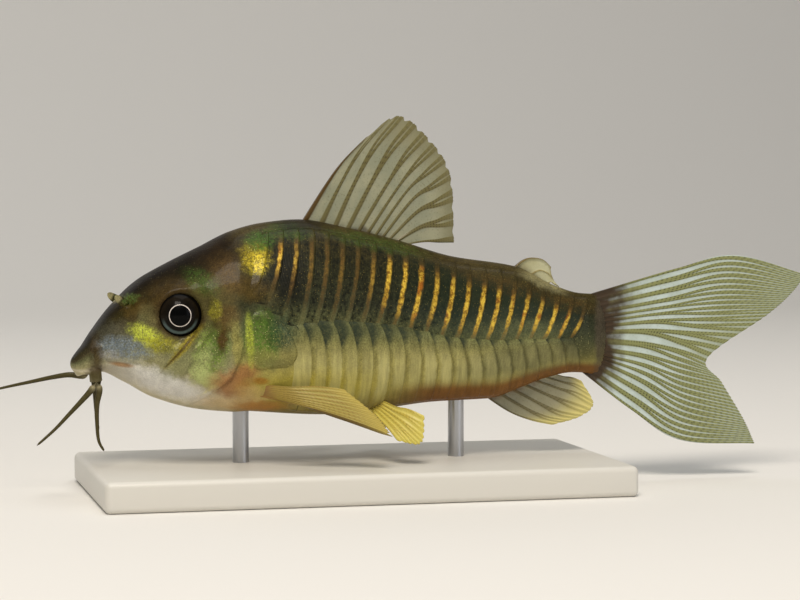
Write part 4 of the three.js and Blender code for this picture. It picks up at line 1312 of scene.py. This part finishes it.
def makeFin(name, plan, material, sign, forking):
    guides = [[Vector((x, y * sign, z)) for x, y, z in guide] for guide in plan["guides"]]
    bpy.ops.mesh.primitive_grid_add(x_subdivisions=plan["columns"], y_subdivisions=plan["rows"], size=1,
                                    location=(0.5, 0.5, 0))
    sheet = bpy.context.object
    sheet.name = name
    bpy.ops.object.transform_apply(location=True, rotation=True, scale=True)
    thickness = shapeSheet(sheet.data, plan, guides, forking)
    group = sheet.vertex_groups.new(name="thickness")
    for i, value in enumerate(thickness):
        group.add([i], value, "REPLACE")
    activate(sheet)
    bpy.ops.object.modifier_add(type="SOLIDIFY")
    solid = sheet.modifiers[-1]
    solid.thickness = 1.0 * mm
    solid.offset = 0
    solid.vertex_group = "thickness"
    bpy.ops.object.modifier_apply(modifier=solid.name)
    sheet.vertex_groups.clear()
    bpy.ops.object.mode_set(mode="EDIT")
    bpy.ops.mesh.select_all(action="SELECT")
    bpy.ops.mesh.normals_make_consistent(inside=False)
    bpy.ops.object.mode_set(mode="OBJECT")
    bpy.ops.object.shade_smooth()
    nodes = plan["nodes"]
    if plan.get("paired"):
        nodes = [f"{nodes[0]}_{'left' if sign > 0 else 'right'}"]
    finishPiece(sheet, material, nodes)


def makeFins():
    for name, plan in fins.items():
        material = finTissue(f"{name[:-3]}FinTissue", {**sharedTones, **finTones[name]}, forks[name])
        copies = (("Left", 1), ("Right", -1)) if plan.get("paired") else (("", 1),)
        for side, sign in copies:
            makeFin(f"{name}{side}", plan, material, sign, forks[name])


makeFins()
print("fins are spread")


# eyes: glossy balls that face a little forward

eyes = {
    "radius": skin["eyeRadius"], "centre": (skin["eye"][0], skin["eyeDepth"], skin["eye"][1]),
    "facing": (-0.09, 1.0, 0.0), "paintedSheen": "#5f6f6c",
    # angle from the middle of the pupil: pupil, silver ring, iris, dark rim
    "rings": [(0.0, "#030303"), (0.415, "#030303"), (0.427, "#ddd3c9"), (0.447, "#ddd3c9"),
              (0.462, "#0d0b08"), (0.82, "#1b150c"), (0.9, "#060504"), (1.0, "#060504")],
}


def eyeGlass():
    # wet dark eye: black pupil, thin silver ring, near-black iris with a bluish sheen painted on its lower
    # edge
    material, tree, shader = newMaterial("wetEye", {
        "IOR": 1.34, "Roughness": 0.4, "Coat Weight": 0.1, "Coat Roughness": 0.03,
        "Specular IOR Level": 0.05})
    angle, up = attribute(tree, "fromAxis"), attribute(tree, "lookUp")
    # a bluish sheen painted on the lower part of the iris, a reflection put in as colour
    sheenCrescent = product(tree, eased(tree, up, -0.1, -0.75, 0.0, 0.85), eased(tree, angle, 0.62, 0.74),
                       fading(tree, angle, 0.78, 0.86))
    colour = mixed(tree, sheenCrescent, colourRamp(tree, angle, eyes["rings"]), eyes["paintedSheen"])
    dusty = ranged(tree, noise(tree, objectPlace(tree), 2600.0, 4.0, 0.7), 0.3, 0.7, 0.75, 1.25)
    wire(tree, shader, {"Base Color": scaled(tree, colour, dusty)})
    return material


def makeEyes():
    glass = eyeGlass()
    for side, sign in (("left", -1), ("right", 1)):
        axis = Vector((eyes["facing"][0], eyes["facing"][1] * sign, eyes["facing"][2])).normalized()
        turn = axis.to_track_quat("Z", "Y").to_euler()
        centre = Vector((eyes["centre"][0], eyes["centre"][1] * sign, eyes["centre"][2]))
        bpy.ops.mesh.primitive_uv_sphere_add(segments=96, ring_count=96, radius=eyes["radius"] * mm,
                                             location=centre * mm, rotation=turn)
        ball = bpy.context.object
        ball.name = f"eyeball{side.capitalize()}"
        bpy.ops.object.transform_apply(location=True, rotation=True, scale=True)
        fromAxis, lookUp = [], []
        for vert in ball.data.vertices:
            out = (vert.co / mm - centre).normalized()
            fromAxis.append(min(out.angle(axis), math.pi / 2))
            flat = out - axis * out.dot(axis)
            lookUp.append(flat.normalized().z if flat.length > 1e-5 else 0.0)
        addAttribute(ball.data, "fromAxis", fromAxis)
        addAttribute(ball.data, "lookUp", lookUp)
        bpy.ops.object.shade_smooth()
        finishPiece(ball, glass, [f"eye_{side}"])


makeEyes()
print("eyes are set")


# the stand: a moulded plate and two steel pins

stand = {"size": (52, 26, 3), "corner": 8, "edge": 0.6, "pinRadius": 0.8, "pinsAt": (-11, 11), "sunk": 1.45,
         "intoBelly": 0.6, "plastic": "#d8d5cc", "steel": "#b9babc"}


def makeStand():
    bpy.ops.mesh.primitive_cube_add(size=1, location=(0, 0, stand["size"][2] / 2 * mm))
    base = bpy.context.object
    base.name = "standPlate"
    base.scale = Vector(stand["size"]) * mm
    bpy.ops.object.transform_apply(location=True, rotation=True, scale=True)
    bpy.ops.object.mode_set(mode="EDIT")
    shape = bmesh.from_edit_mesh(base.data)
    for edge in shape.edges:
        a, b = edge.verts
        edge.select = abs(a.co.z - b.co.z) > 1 * mm
    bmesh.update_edit_mesh(base.data)
    bpy.ops.mesh.bevel(offset=stand["corner"] * mm, segments=24, affect="EDGES", clamp_overlap=False)
    bpy.ops.object.mode_set(mode="OBJECT")
    bpy.ops.object.modifier_add(type="BEVEL")
    soft = base.modifiers[-1]
    soft.width = stand["edge"] * mm
    soft.segments = 5
    soft.limit_method = "ANGLE"
    soft.angle_limit = math.radians(50)
    bpy.ops.object.modifier_apply(modifier=soft.name)
    bpy.ops.object.shade_smooth_by_angle(angle=math.radians(40))
    # satin moulded plastic, with a fine grain
    satin, tree, shader = newMaterial("satinMouldedPlastic", {
        "Base Color": hexColour(stand["plastic"]), "Roughness": 0.42, "IOR": 1.49})
    grain = noise(tree, objectPlace(tree), 9000.0, 2.0)
    wire(tree, shader, {"Normal": bump(tree, grain, 0.15, 0.00002)})
    finishPiece(base, satin, ["stand_base"])

    # steel brushed lengthwise
    steel, tree, shader = newMaterial("brushedSteelPin", {
        "Base Color": hexColour(stand["steel"]), "Metallic": 1.0})
    stretch = {"Scale": (9000, 9000, 300)}
    lengthwise = addNode(tree, "ShaderNodeMapping", stretch, {"Vector": objectPlace(tree)}).outputs[0]
    brush = noise(tree, lengthwise, 1.0, 2.0)
    wire(tree, shader, {"Roughness": ranged(tree, brush, 0.0, 1.0, 0.22, 0.42)})
    for name, x in zip(("front", "rear"), stand["pinsAt"]):
        low = stand["size"][2] - stand["sunk"]
        high = sectionAt(x)["belly"] + stand["intoBelly"]
        bpy.ops.mesh.primitive_cylinder_add(
            vertices=64, radius=stand["pinRadius"] * mm, depth=(high - low) * mm,
            location=(x * mm, 0, (high + low) / 2 * mm))
        pin = bpy.context.object
        pin.name = f"pin{name.capitalize()}"
        bpy.ops.object.transform_apply(location=True, rotation=True, scale=True)
        bpy.ops.object.shade_smooth_by_angle(angle=math.radians(40))
        finishPiece(pin, steel, [f"stand_rod_{name}"])


makeStand()
print("stand is under it")
